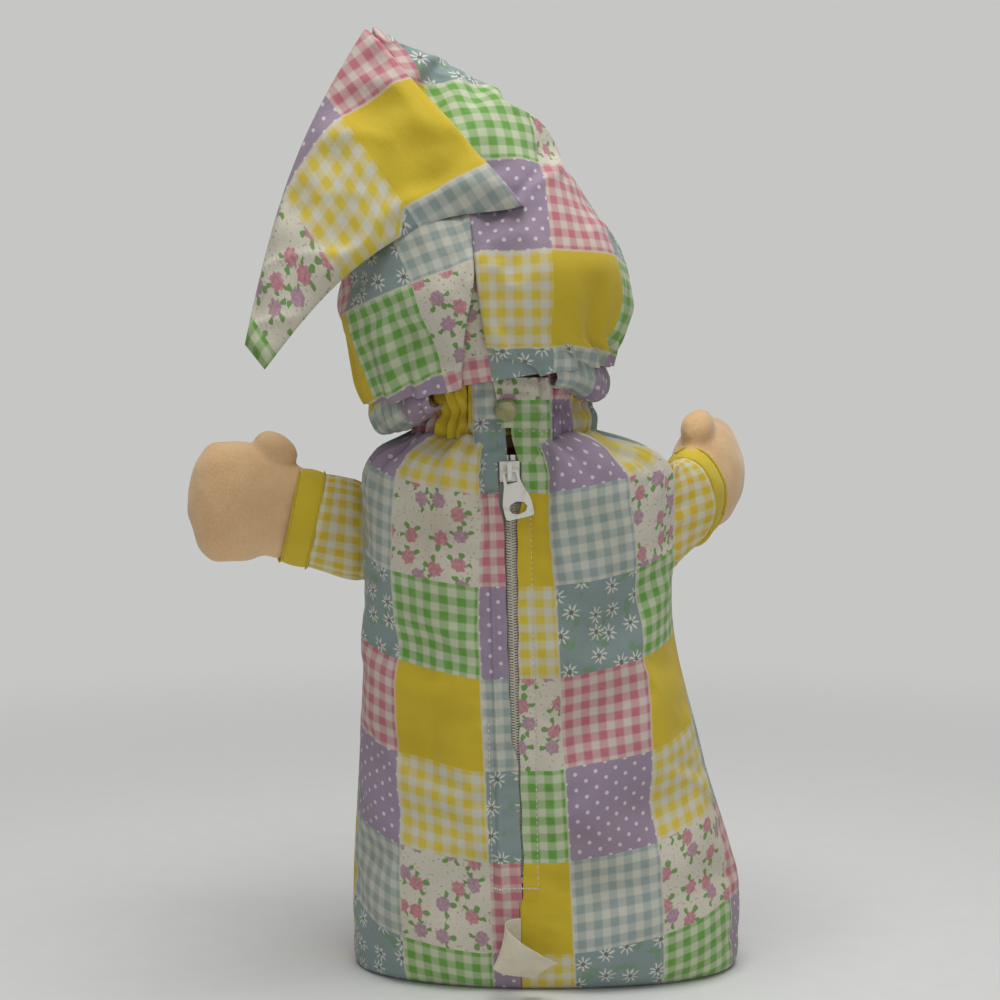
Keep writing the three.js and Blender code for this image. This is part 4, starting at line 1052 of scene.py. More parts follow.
def neck_piece(name, left, right, foot, face, side, seed, lift):
    """A flat strip from foot to the hood; left and right are curves of its edges over height."""
    rows, columns = 48, 26
    z = np.linspace(foot, placket_top, rows)[:, None] * np.ones((1, columns))
    x = mix(left(z), right(z), np.linspace(0, 1, columns)[None, :])
    points = np.stack([x, np.full_like(z, face), z], axis=-1)
    wrinkles = 0.9 * swell(points * [1.0, 1.0, 1.9], 13, seed) + 0.5 * swell(points, 6, seed + 40)
    points[..., 1] -= 0.5 + wrinkles * ease(foot, foot + 5, z) + 0.8 * ease(neck_z + 8, placket_top, z)
    above = ease(foot, neck_z + 2, z)
    points[..., 1] += 5 * ease(8, 11.5, x) * above + 5 * ease(-25, -29, x) * above
    piece = cloth_mesh(name, points, flat_cells(x, z, side, lift), patchwork)
    thicken(piece, 0.8, 1)
    return piece


gap_left = curve([(gap_foot, -10.6), (neck_z + 3, -11.4), (neck_z + 10, -8), (placket_top, -8)])
gap_right = curve([(gap_foot, -5.2), (neck_z + 3, -8.8), (neck_z + 10, -8.6), (placket_top, -8.6)])
placket_left = neck_piece("placket_cloth_left", lambda z: -29 + 0 * z, gap_left, gap_foot,
                          placket_face - 0.2, -1, 51, 10)
placket_right = neck_piece("placket_cloth_right", gap_right, lambda z: 11 + 0 * z, gap_foot,
                           placket_face - 0.2, 1, 52, 1)
tab = neck_piece("tab_cloth", lambda z: -12.5 - 0.18 * (z - neck_z), lambda z: 4 + 0 * z, neck_z + 4,
                 tab_face + 0.6, 1, 53, 1)
print("neck opening:", placket_left.name, placket_right.name, tab.name)

# %% Gathered collar
neck_x, head_z, hood_foot = -12, 272, 17
head_lean = math.radians(9)
hood_foot_middle = head_z + hood_foot / math.cos(head_lean)


def hood_foot_height(x):
    return hood_foot_middle + (x - neck_x) * math.tan(head_lean)


def gathers(part, rise, count, seed):
    """Uneven folds of cloth on an elastic, deep where they are drawn together."""
    wander = 1.6 * np.sin(part * 17 + seed) + 0.9 * np.sin(part * 41 + 2 * seed)
    wander = wander + 0.8 * np.sin(rise * 4 + seed)
    folds = np.sin(part * turn * count + wander)
    small = np.sin(part * turn * count * 2.3 + 2 * wander + rise * 3)
    return np.sign(folds) * np.abs(folds) ** 0.7 + 0.45 * small


def collar(side):
    rows, columns = 30, 190
    part = np.linspace(0, 1, columns)[None, :] * np.ones((rows, 1))
    rise = np.linspace(0, 1, rows)[:, None] * np.ones((1, columns))
    around = np.radians(mix(24, 180, part))
    folds = gathers(part, rise, 15, side)
    pinch = np.exp(-((rise - 0.45) / 0.14) ** 2)
    reach = folds * (1.1 + 1.5 * rise) - 3.4 * pinch + 3.0 * ease(0.45, 1, rise)
    crumple = np.stack([part * 190, rise * 26, 0 * part], axis=-1)
    reach = reach + 1.2 * swell(crumple, 9, 57 + side) * ease(0, 0.3, rise)
    depth = mix(40, 38, ease(0.35, 0.5, part))
    x = neck_x + side * (44 + reach) * np.sin(around)
    y = -(depth + reach) * np.cos(around)
    top = hood_foot_height(x) + 3 - 13 * ease(90, 140, np.degrees(around)) + 1.6 * folds
    points = np.stack([x, y, mix(neck_z - 1.5, top, rise)], axis=-1)
    run = np.ones_like(part) * (run_length(points)[rows // 2] * (1.4 if side > 0 else 0.95) + 22)
    column = printed_column(run, neck_strip[side], side)
    lift = 1 if side > 0 else 20
    cells = np.stack([column, (points[..., 2] - row_top + lift) / row_height], axis=-1)
    if side < 0:
        points, cells = points[:, ::-1], cells[:, ::-1]
    piece = cloth_mesh("collar_cloth_" + side_names[side], points, cells, patchwork)
    thicken(piece, 0.9, 1)
    return piece


collars = {side: collar(side) for side in (-1, 1)}
print("collar folds:", len(collars[1].data.polygons), "faces each")

# %% [markdown]
# ## Hood and cap
# The hood is two halves of one printed cloth that overlap at the back and run on, without a seam, into
# the leaning cap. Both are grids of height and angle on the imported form, so the edge that overlaps is
# only a rule for where each row starts.

# %% Form of the hood and cap
head_place = np.array([neck_x, 0, head_z], float)
head_across = np.array([math.cos(head_lean), 0, math.sin(head_lean)])
head_up = np.array([-math.sin(head_lean), 0, math.cos(head_lean)])
head_lift, cone_foot, cone_height = 60, 121, 73


def on_head(points):
    """From the head's own frame to the doll's."""
    forward = np.array([0, 1.0, 0])
    return (head_place + points[..., :1] * head_across + points[..., 1:2] * forward
            + points[..., 2:] * head_up)


def hood_form(foot, middle, top):
    cone_at = np.linspace(0, 1, 13)[1:]
    low = curve([(hood_foot, foot), (29.9, mix(foot, middle, 0.6)), (head_lift, middle),
                 (84, mix(middle, top(0), 0.33)), (cone_foot, top(0))])
    high = curve([(cone_foot, top(0))] + [(cone_foot + cone_height * p, top(p)) for p in cone_at])
    return lambda h: np.where(np.asarray(h) < cone_foot, low(h), high(h))


cone_depth = curve([(0, 37), (0.4, 21.5), (1, 6)])
hood_half = hood_form(62, 70, lambda p: mix(49, 4, p ** 1.3))
hood_rear = hood_form(54, 65, lambda p: float(cone_depth(p)))
hood_fore = hood_form(48, 57, lambda p: float(cone_depth(p)))
hood_drift = hood_form(0, 0, lambda p: mix(-3, -34, p ** 1.6))


def hood_draw(h, side):
    """The foot of the hood is drawn in by its gathers on the right, and puffs out on the left."""
    return mix(1, 0.87 if side > 0 else 1.06, ease(46, hood_foot, h))


def hood_point(h, angle, grow=0.0):
    sine, cosine = np.sin(angle), -np.cos(angle)
    depth = np.where(cosine < 0, hood_rear(h), hood_fore(h)) + grow
    x = hood_drift(h) + (hood_half(h) + grow) * sine
    return np.stack(np.broadcast_arrays(x, depth * cosine, h), axis=-1)


face_plane = 38


def face_angle(h):
    """How far round each row runs before the face opening; above the brow, all the way."""
    fore = hood_fore(h)
    ratio = np.clip(face_plane / np.maximum(fore, face_plane), -1, 1)
    return math.pi - np.where(fore > face_plane, np.arccos(ratio), 0)


def hood_run(h, angle):
    """Distance round the hood from its middle back to an angle, at each height."""
    fine = np.linspace(0, 1, 60)
    sweep = angle[..., None] * fine
    ring = hood_point(h[..., None] * np.ones(60), sweep)
    step = np.linalg.norm(np.diff(ring, axis=-2), axis=-1).sum(axis=-1)
    return np.sign(angle) * step


print("hood at the ears:", round(2 * float(hood_half(head_lift))), "mm wide")

# %% Hood halves
hood_rows, hood_columns = 96, 60
right_edge = curve([(17, 19.5), (22.5, 16.8), (28, 5), (33.6, -3.2), (66, -2.5), (96, -1), (194, -34)])
left_edge = curve([(17, -17.5), (40, -12), (71, -2.6), (96, -1), (194, -34)])


def hood_cells(h, run, side):
    """Each half is cut on its own slant from the bolt, about a corner where four squares meet."""
    if side > 0:
        corner_h, corner_run, column, row, slant = 72.4, 34.1, 3, -1, math.radians(8)
    else:
        corner_h, corner_run, column, row, slant = 68.2, -33.2, 3, -3, math.radians(-10.5)
    a, b = (corner_h - h) / square, (run - corner_run) / square
    return np.stack([column + a * math.cos(slant) - b * math.sin(slant),
                     row + a * math.sin(slant) + b * math.cos(slant)], axis=-1)


def hood_half_cloth(side):
    h = np.linspace(hood_foot, 193.5, hood_rows)[:, None] * np.ones((1, hood_columns))
    part = np.linspace(0, 1, hood_columns)[None, :] * np.ones((hood_rows, 1))
    edge = right_edge(h) if side > 0 else left_edge(h)
    ratio = np.clip((edge - hood_drift(h)) / hood_half(h), -1, 1)
    start = np.arcsin(ratio)
    angle = mix(start, side * face_angle(h), part)
    points = hood_point(h, angle, 0.6 if side > 0 else 0.0)
    points[..., 0] = mix(points[..., 0], points[..., 0] * hood_draw(h, side), ease(0.1, 0.4, part))
    shut = np.sqrt(1 - 0.98 * np.clip((h - 186) / 7.5, 0, 1) ** 2)
    points[..., 0] = mix(hood_drift(h), points[..., 0], shut)
    points[..., 1] *= shut
    run = hood_run(h, angle)
    outward = grid_normals(points) * side
    foot = ease(66, 17, h)
    slope = part * turn * 8 + 1.8 * np.sin(part * 11 + side) + 0.03 * side * h
    folds = np.sin(slope) * foot * ease(0.05, 0.22, part)
    face = ease(0.8, 1, part) * ease(125, 100, h)
    pleats = np.sin(h * turn / 9.0 + 1.4 * np.sin(h * 0.2)) * face
    dents = swell(points, 58, 61 + side) * 1.8 + swell(points, 26, 71 + side) * 1.1
    dents = dents + 1.8 * creases(points, 56, 75 + side)
    border = ease(0, 0.05, part)
    lift = (2.4 * folds + 1.0 * pleats + dents * ease(1, 0.9, part)) * border
    points = points + outward * lift[..., None]
    cells = hood_cells(h, run, side)
    if side < 0:
        points, cells = points[:, ::-1], cells[:, ::-1]
    piece = cloth_mesh("hood_cloth_" + side_names[side], on_head(points), cells, patchwork)
    buckle(piece, border_pins(hood_rows, hood_columns), 0.03, 1.5)
    thicken(piece, cloth_gauge, 1)
    return piece


hoods = {side: hood_half_cloth(side) for side in (-1, 1)}
print("hood halves:", len(hoods[1].data.polygons), "faces each")

# %% Tail of the cap
fold_place = np.array([-77.905, -11, 457.98])
fold_along = np.array([0.6083, -0.3468, -0.7140])
fold_out = np.array([-0.7824, -0.1107, -0.6128])
fold_up = np.array([0.1335, 0.9314, -0.3387])
peak = np.array([-36, -11, 194.0])
fold_corner = np.array([19, -50, 104.0])
tail_tip = np.array([-104, -64, 40.0])
fold_length = float(np.linalg.norm(fold_corner - peak))
tip_along = float((tail_tip - peak) @ (fold_corner - peak)) / fold_length
tail_length = math.sqrt(float((tail_tip - peak) @ (tail_tip - peak)) - tip_along ** 2)


def on_tail(x, y, z):
    return (fold_place + x[..., None] * fold_along + y[..., None] * fold_out + z[..., None] * fold_up)


fold_steps = [(16, 5), (11, 0.5), (7, -1.6), (3.6, -2.0), (1.2, -1.2)]


def tail_cloth():
    rows, half_columns = 64, 36
    part = np.linspace(0.012, 1, rows)[:, None]
    t = np.linspace(0, 1, half_columns)[None, :]
    bow = np.sin(math.pi * part)
    near = (tip_along - 16) * part - 11 * bow
    corner = np.exp(-(part / 0.17) ** 2)
    wide = mix(fold_length, tip_along, part) - 14.3 * bow + 10.5 * corner
    across = mix(near, wide, t)
    out = tail_length * part * np.ones_like(t)
    thick = mix(2.4, 13, np.sin(math.pi * mix(0.02, 0.92, part)) ** 0.7)
    half = 0.5 * (0.6 + thick * np.sin(math.pi * np.clip(t, 0, 1)) ** 0.6)
    flat = np.stack([across, out, 0 * across], axis=-1)
    dents = swell(flat, 44, 81) * 2.2 + swell(flat, 20, 82) * 1.2 + 2.4 * creases(flat, 44, 83, 0.26)
    shut = np.sqrt(np.clip((1 - part) / 0.03, 0.0004, 1))
    half = half * shut
    soft = ease(0, 0.12, t) * ease(1, 0.88, t) * shut
    rolled = 3.2 * np.exp(-((t - 0.87) / 0.07) ** 2) * ease(0.5, 0.15, part)
    outer = on_tail(across, out, -half - dents * soft - rolled)
    inner = on_tail(across, out, np.minimum(half * 0.5, 2.5))
    points = np.concatenate([outer, inner[:, ::-1]], axis=1)
    fold_roll = [points[:1] + deep * fold_up + out_by * fold_out for deep, out_by in fold_steps]
    points = np.concatenate([*fold_roll, points])
    column_start = np.interp(out, [-5, 40, 70, 140], [37, 32, 40, 70])
    column_end = np.interp(out, [-5, 43, 62, 140], [98, 90, 104, 119])
    u = 3 + (across - column_start) / (column_end - column_start)
    v = -0.195 + 0.00194 * across - 0.02303 * out
    face = np.stack([u, v], axis=-1)
    cells = np.concatenate([face, face[:, ::-1], face[:, :1]], axis=1)
    roll_cells = [cells[:1] + np.array([0, deep / square]) for deep, _ in fold_steps]
    cells = np.concatenate([*roll_cells, cells])
    return cloth_mesh("tail_cloth", points, cells, patchwork, closed=True)


tail = tail_cloth()
print("tail:", round(tail_length), "mm long from its fold")

# %% [markdown]
# ## Under the hood
# Behind the overlap a facing strip of the same cloth shows, and below the hood its gathered hem spreads
# at each side of the neck. The head itself is fleece over filling, with a plain embroidered face that is
# turned away from the camera: two round eyes, a button nose and a short curved mouth.

# %% Facing and hems
def facing_cloth():
    rows, columns = 30, 40
    h = np.linspace(18.5, 66, rows)[:, None] * np.ones((1, columns))
    angle = np.linspace(-0.5, 0.62, columns)[None, :] * np.ones((rows, 1))
    points = hood_point(np.maximum(h, hood_foot), angle, -3.0)
    points[..., 2] = h
    points[..., 1] += 0.5 * swell(points, 16, 91)
    run = hood_run(np.maximum(h, hood_foot), angle)
    cells = np.stack([2 - (h - 31) / square, (run + 3) / square], axis=-1)
    piece = cloth_mesh("hood_facing", on_head(points), cells, patchwork)
    thicken(piece, 1.0, 1)
    return piece


def hood_hem(side):
    """The gathered foot of the hood: it rolls down and under, from the hood's edge to the neck."""
    rows, columns = 26, 170
    part = np.linspace(0, 1, columns)[None, :] * np.ones((rows, 1))
    roll = np.linspace(0, 1, rows)[:, None] * np.ones((1, columns))
    degrees = mix(33 if side < 0 else 27, 150, part)
    around = np.radians(degrees) * side
    folds = gathers(part, roll, 13, 3 + side)
    turned = roll * math.radians(128)
    bulge = mix(0.35, 1, ease(25, 60, degrees))
    inward = 15.5 * (1 - np.cos(turned)) / 1.62 * mix(0.8, 1, bulge)
    tuck = ease(0.2, 0, roll)
    reach = 1.6 * folds * ease(0, 0.5, roll) - inward + 1.2 * np.sin(turned) - 3.2 * tuck
    depth = mix(54, 48, ease(70, 110, degrees))
    drop = 15.5 * np.sin(np.minimum(turned, math.pi * 0.62)) * bulge + 1.1 * folds * ease(0.2, 0.6, roll)
    drawn = mix(1, float(hood_draw(hood_foot, side)), ease(0.05, 0.4, part))
    points = np.stack([(62 * drawn + reach) * np.sin(around), -(depth + reach) * np.cos(around),
                       hood_foot + 0.4 - drop + 7 * tuck], axis=-1)
    run = hood_run(np.full_like(part, hood_foot), around)
    cells = hood_cells(hood_foot - roll * 24, run * 1.25, side)
    points, cells = points[::-1], cells[::-1]
    if side < 0:
        points, cells = points[:, ::-1], cells[:, ::-1]
    piece = cloth_mesh("hem_cloth_" + side_names[side], on_head(points), cells, patchwork)
    thicken(piece, 0.9, 1)
    return piece


facing = facing_cloth()
hems = {side: hood_hem(side) for side in (-1, 1)}
print("facing and hems:", facing.name, [hem.name for hem in hems.values()])

# %% Band round the face
head_half, head_round, head_forward = 60, 58, 4
band_back = face_plane + 0.3


def face_band():
    around, ring = 220, 14
    angle = np.linspace(0, turn, around, endpoint=False)[:, None]
    section = np.linspace(0, turn, ring, endpoint=False)[None, :]
    reach = math.sqrt(1 - ((band_back - head_forward) / head_round) ** 2)
    folds = np.sin(angle * 23 + 1.2 * np.sin(angle * 5)) + 0.5 * np.sin(angle * 51)
    width = 3.6 + 0.9 * folds
    thick = 2.4 + 0.35 * np.sin(angle * 46)
    out = 0.45 + 2.4 + thick * np.cos(section)
    y = band_back + width + width * np.sin(section)
    x = (head_half * reach + out) * np.cos(angle)
    z = head_lift + (head_round * reach + out) * np.sin(angle)
    points = np.stack([x, y, z], axis=-1)
    closed = np.concatenate([points, points[:1]], axis=0)
    run = np.linspace(0, 11, around + 1)[:, None] * np.ones((1, ring + 1))
    over = np.linspace(0, 0.5, ring + 1)[None, :] * np.ones((around + 1, 1))
    return cloth_mesh("face_band", on_head(closed), np.stack([run, over], axis=-1), patchwork, closed=True)


def face_lining():
    """A turned-in strip between the hood's edge and the band."""
    rings, around = 8, 120
    angle = np.linspace(0, turn, around, endpoint=False)[None, :]
    wide = mix(4, 6, ease(-0.9, -0.3, np.sin(angle))) + 8 * ease(0.62, 0.95, np.sin(angle))
    radius = 47 + wide * np.linspace(0, 1, rings)[:, None]
    points = np.stack(np.broadcast_arrays(1.03 * radius * np.cos(angle), 82.5 - radius,
                                          head_lift + radius * np.sin(angle)), axis=-1)
    piece = cloth_mesh("face_lining", on_head(points), closed_cells(points), patchwork, closed=True)
    thicken(piece, 0.8, 0)
    return piece


band = face_band()
lining = face_lining()
print("face band:", len(band.data.polygons), "faces, with", lining.name)

# %% Head, neck and face
def weld(piece):
    """Join points that lie in one place, so that a ring closes."""
    joiner = piece.modifiers.new("weld", "WELD")
    joiner.merge_threshold = 0.0001
    apply_modifiers(piece)


def round_skin(name, radii, centre, foot, finish, seed, place=on_head):
    """A soft ball in a frame of its own, open below its foot."""
    rows, around = 48, 64
    low = math.asin(max((foot - centre[2]) / radii[2], -0.999))
    rise = np.linspace(low, math.pi / 2 - 0.02, rows)[:, None]
    angle = np.linspace(0, turn, around, endpoint=False)[None, :]
    points = np.stack(np.broadcast_arrays(
        centre[0] + radii[0] * np.cos(rise) * np.sin(angle),
        centre[1] - radii[1] * np.cos(rise) * np.cos(angle),
        centre[2] + radii[2] * np.sin(rise)), axis=-1)
    points = points + grid_normals(points) * (0.5 * swell(points, 34, seed))[..., None]
    return cloth_mesh(name, place(points), closed_cells(points), finish, closed=True)


head_skin = round_skin("head_fleece", (head_half, head_round, head_round), (0, head_forward, head_lift), 5,
                       fleece, 95)
weld(band)
neck_skin = round_skin("neck_fleece", (25.6, 25.6, 25.6), (neck_x, 0, head_z), 254, fleece, 96, lambda p: p)
print("head and neck:", head_skin.name, neck_skin.name)


def face_y(x, z):
    bulge = 1 - (x / head_half) ** 2 - ((z - head_lift) / head_round) ** 2
    return head_forward + head_round * np.sqrt(bulge)


def satin_patch(name, x, z, radius, proud, finish):
    """A round of satin stitch: a low dome whose rows are raised like threads."""
    rings, around = 14, 56
    out = np.linspace(0.02, 1, rings)[:, None]
    angle = np.linspace(0, turn, around, endpoint=False)[None, :]
    px, pz = x + radius * out * np.cos(angle), z + radius * out * np.sin(angle)
    rows = 0.12 * np.sin(pz * turn / 0.9)
    lift = proud * np.sqrt(1 - (out * 0.98) ** 2) + rows * (1 - out ** 4) - 0.2
    points = np.stack([px, face_y(px, pz) + lift, pz], axis=-1)
    return cloth_mesh(name, on_head(points), closed_cells(points), finish, closed=True)


eyes = {side: satin_patch("eye_satin_" + name, side * 21, head_lift + 4, 6, 2.6, brown_thread)
        for side, name in side_names.items()}
nose = satin_patch("nose_fleece", 0, head_lift - 7, 4.5, 2.6, fleece)


def mouth_thread():
    t = np.linspace(-1, 1, 70)
    x, z = 11 * t, head_lift - 20 + 4 * t * t
    path = np.stack([x, face_y(x, z) + 0.5, z], axis=-1)
    radius = 1.1 * np.sqrt(np.maximum(1 - t ** 6, 0.02)) * (1 + 0.12 * np.sin(t * 90))
    points = tube(path, radius, 10)
    return cloth_mesh("mouth_thread", on_head(points), closed_cells(points), rose_thread, closed=True)


mouth = mouth_thread()
print("face:", [piece.name for piece in (*eyes.values(), nose, mouth)])

# %% [markdown]
# ## Arms
# Each arm is a short sleeve sewn flat at the side seam, a plain cuff and a stuffed fleece mitten. Sleeve
# and cuff are rings of cloth. The mitten could be sculpted; here a palm and a thumb are lofted, fused by a
# voxel remesh, and smoothed, which gives the soft crease between them that stuffing gives.

# %% Sleeves and cuffs
arm_height = {-1: 215, 1: 221}
arm_raise = {-1: math.tan(math.radians(14)), 1: math.tan(math.radians(16))}
arm_turn = {-1: math.radians(188), 1: math.radians(68)}
wrist_reach, cuff_slant = 38, 0.2
arm_sweep = curve([(0.9, 0.45), (4.8, 2.4), (14.4, 8.58), (24, 15.3), (38, 16.5)])


def on_arm(points, side):
    """From an arm's own frame, x along its reach, to the doll's."""
    shoulder = np.array([sack_drift(arm_height[side]) + side * sack_half(arm_height[side]), 0,
                         arm_height[side]], float)
    along, away = math.cos(arm_turn[side]), math.sin(arm_turn[side])
    x, y = points[..., 0], points[..., 1]
    z = points[..., 2] + arm_raise[side] * x
    return shoulder + np.stack([x * along - y * away, x * away + y * along, z], axis=-1)


def arm_rings(name, stops, grow, finish, side, seed, folds):
    around = 72
    reach = np.asarray(stops, float)[:, None]
    angle = np.linspace(0, turn, around, endpoint=False)[None, :]
    depth = np.maximum(arm_sweep(reach), 0.4) + grow(reach)
    height = 24 + grow(reach)
    points = np.stack(np.broadcast_arrays(reach, depth * np.cos(angle), height * np.sin(angle)), axis=-1)
    points[..., 0] -= cuff_slant * ease(2, 26, reach) * points[..., 2]
    ripple = np.sin(angle * 9 + 1.5 * np.sin(angle * 4) + seed) * folds(reach)
    out = np.stack(np.broadcast_arrays(0 * reach, np.cos(angle), np.sin(angle)), axis=-1)
    points = points + out * (ripple + 0.5 * swell(points, 20, seed))[..., None]
    run = np.linspace(0, 150, around + 1)[None, :] * np.ones_like(reach)
    cells = np.stack([(reach + 0 * run) / square, run / square], axis=-1)
    piece = cloth_mesh(name + side_names[side], on_arm(points, side), cells, finish, closed=True)
    thicken(piece, 1.2, 1)
    return piece


def sleeve_cloth(side):
    stops = np.linspace(-3, 24.2, 23)
    return arm_rings("sleeve_cloth_", stops, lambda r: 0.9 * np.sin(np.clip(r / 24, 0, 1) * math.pi),
                     gingham, side, 3 + side, lambda r: 0.9 * ease(16, 2, r) * ease(0.9, 4, r))


def cuff_cloth(side):
    stops = np.concatenate([[24.6], np.linspace(24.3, 37, 14), [36.6]])
    return arm_rings("cuff_cloth_", stops, lambda r: 0.9 * np.sin(np.clip((r - 24) / 13, 0, 1) * math.pi),
                     yellow_cotton, side, 7 + side, lambda r: 0.15 + 0 * r)


sleeves = {side: sleeve_cloth(side) for side in (-1, 1)}
cuffs = {side: cuff_cloth(side) for side in (-1, 1)}
print("sleeves and cuffs:", len(sleeves[1].data.polygons), len(cuffs[1].data.polygons))

# %% Mittens
hand_depth = curve([(-6, 14), (4, 15.6), (10, 16.8), (20.2, 18.5), (33.6, 17.6), (43.2, 11.5), (48, 1.5)])
hand_height = curve([(-6, 21), (1, 23.8), (10, 26.5), (20.2, 29.3), (33.6, 29.6), (43.2, 21), (48, 4)])
hand_lift = {-1: 5.6, 1: 8.0}


def mitten():
    """Rings of a stuffed palm, from inside the cuff to the blunt end of the fingers."""
    around = 40
    end = 48 - np.array([6.5, 5, 3.6, 2.4, 1.4, 0.7, 0.2])
    reach = np.concatenate([np.linspace(-6, 40, 22), end])[:, None]
    angle = np.linspace(0, turn, around, endpoint=False)[None, :]
    return np.stack(np.broadcast_arrays(reach, hand_depth(reach) * np.cos(angle),
                                        hand_height(reach) * np.sin(angle)), axis=-1)


def ball_points(radii, centre):
    rise = np.linspace(-1.5, 1.5, 14)[:, None]
    angle = np.linspace(0, turn, 20, endpoint=False)[None, :]
    return np.stack(np.broadcast_arrays(
        centre[0] + radii[0] * np.cos(rise) * np.cos(angle),
        centre[1] + radii[1] * np.cos(rise) * np.sin(angle),
        centre[2] + radii[2] * np.sin(rise)), axis=-1)


def capped(grids):
    """Closed lumps of mesh from grids of rings, each end closed by one face."""
    points, faces = [], []
    for grid in grids:
        first = len(points)
        rows, around = grid.shape[:2]
        points.extend(grid.reshape(-1, 3))
        for r in range(rows - 1):
            for c in range(around):
                after = (c + 1) % around
                faces.append([first + r * around + c, first + r * around + after,
                              first + (r + 1) * around + after, first + (r + 1) * around + c])
        faces.append([first + c for c in range(around)][::-1])
        faces.append([first + (rows - 1) * around + c for c in range(around)])
    return np.array(points), faces


def on_hand(points, side):
    """From a hand's own frame at the wrist to the doll's: the mitten stays level, not slanted as a sleeve."""
    placed = points + np.array([wrist_reach, 0, 0])
    placed[..., 0] -= cuff_slant * ease(14, -2, points[..., 0]) * points[..., 2]
    placed[..., 2] += hand_lift[side] * ease(-4, 14, points[..., 0])
    placed[..., 2] -= arm_raise[side] * (placed[..., 0] - wrist_reach)
    return on_arm(placed, side)


def hand_fleece(side):
    lumps = [mitten(), ball_points((8.2, 8.5, 9.3), (8, 0, 26.5)), ball_points((7.0, 8.0, 8.0), (8, 0, 20))]
    points, faces = capped([on_hand(grid, side) for grid in lumps])
    mesh = bpy.data.meshes.new("hand_fleece_" + side_names[side])
    mesh.from_pydata(points * mm, [], faces)
    piece = bpy.data.objects.new(mesh.name, mesh)
    scene.collection.objects.link(piece)
    fuse = piece.modifiers.new("fuse", "REMESH")
    fuse.mode = "VOXEL"
    fuse.voxel_size = 1.4 * mm
    soften = piece.modifiers.new("soften", "SMOOTH")
    soften.iterations = 8
    apply_modifiers(piece)
    place = np.array([vertex.co for vertex in piece.data.vertices]) / mm
    normal = np.array([vertex.normal for vertex in piece.data.vertices])
    dents = 0.8 * swell(place, 34, 17 + side) + 0.35 * swell(place, 13, 27 + side)
    piece.data.vertices.foreach_set("co", ((place + normal * dents[:, None]) * mm).ravel())
    piece.data.shade_smooth()
    piece.data.materials.append(fleece)
    return piece


hands = {side: hand_fleece(side) for side in (-1, 1)}
print("mittens:", len(hands[-1].data.polygons), "faces each")

# %% [markdown]
# ## Label
# A bare woven ribbon is caught in the seam under the zip. It leaves the seam, turns back on itself and
# lies over to the right, so it is one strip along a smooth path, with a little curl in its free corner.

# %% Label ribbon
label_seam = np.array([-4.226, -53.545, 14.0])
label_middle = [(0, 0, 14), (-6, -3.5, 14), (-9, -8, 11), (-5, -11, 7.5), (3, -10.5, 4), (11.5, -8, 1)]


def smooth_path(stops, count):
    """Catmull-Rom points through the stops, evenly in parameter."""
    knots = np.array(stops, float)
    knots = np.concatenate([2 * knots[:1] - knots[1:2], knots, 2 * knots[-1:] - knots[-2:-1]])
    place = np.linspace(0, len(stops) - 1.0001, count)
    k = place.astype(int)
    t = (place - k)[:, None]
    a, b, c, d = knots[k], knots[k + 1], knots[k + 2], knots[k + 3]
    return b + 0.5 * t * (c - a + t * (2 * a - 5 * b + 4 * c - d + t * (3 * (b - c) + d - a)))


def label_ribbon():
    rows, columns = 16, 64
    path = smooth_path(label_middle, columns)[None, :, :]
    along = np.linspace(0, 1, columns)[None, :]
    lean = np.radians(44) * ease(0.2, 0.62, along)
    rise = np.linspace(-9, 9, rows)[:, None]
    curl = 1.6 * ease(0.7, 1, along) * (rise / 9) ** 2
    tip = np.radians(34) * ease(0.55, 1, along)
    width = np.stack(np.broadcast_arrays(rise * np.sin(lean) * np.cos(tip), -curl - rise * np.sin(tip),
                                         rise * np.cos(lean) * np.cos(tip)), axis=-1)
    points = label_seam + path + width
    run = run_length(points)
    cells = np.stack([run / square * 3, (rise + 0 * run) / square * 3], axis=-1)
    piece = cloth_mesh("label_ribbon", points, cells, label_cotton)
    thicken(piece, 0.5, 1, offset=0.0)
    return piece


label = label_ribbon()
print("label:", len(label.data.polygons), "faces")

# %% [markdown]
# ## Stitching
# Topstitching holds the plackets and the zip. Each row is a line of small threads laid on the finished
# cloth: a ray finds the cloth under every stitch, so the rows follow its creases.

# %% Rows of stitches
def cloth_behind(pieces, x, z):
    """Depth of the nearest cloth behind a place on the back of the doll, or of the zip in a gap."""
    found = [float(zip_y(z))]
    for piece in pieces:
        hit, place, _, _ = piece.ray_cast((x * mm, -0.2, z * mm), (0, 1, 0))
        if hit:
            found.append(place.y / mm)
    return min(found)


def stitch_row(name, pieces, start, end, stitch=2.6, thread=0.3):
    """One mesh of short threads from start to end, given as x and z."""
    count = max(int(math.dist(start, end) / stitch), 1)
    sides, rings = 6, np.array([0.1, 0.85, 1.0, 0.85, 0.1])
    strands = []
    for k in range(count):
        part = (k + np.linspace(0.12, 0.82, len(rings))) / count
        x, z = mix(start[0], end[0], part), mix(start[1], end[1], part)
        y = np.array([cloth_behind(pieces, a, b) for a, b in zip(x, z)]) - 0.12
        strands.append(tube(np.stack([x, y, z], axis=-1), thread * rings, sides))
    points, faces = capped(strands)
    mesh = bpy.data.meshes.new(name)
    mesh.from_pydata(points * mm, [], faces)
    mesh.shade_smooth()
    mesh.materials.append(white_thread)
    piece = bpy.data.objects.new(name, mesh)
    scene.collection.objects.link(piece)
    return piece


def beside_zip(offset, z):
    return (float(zip_x(z)) + offset, z)


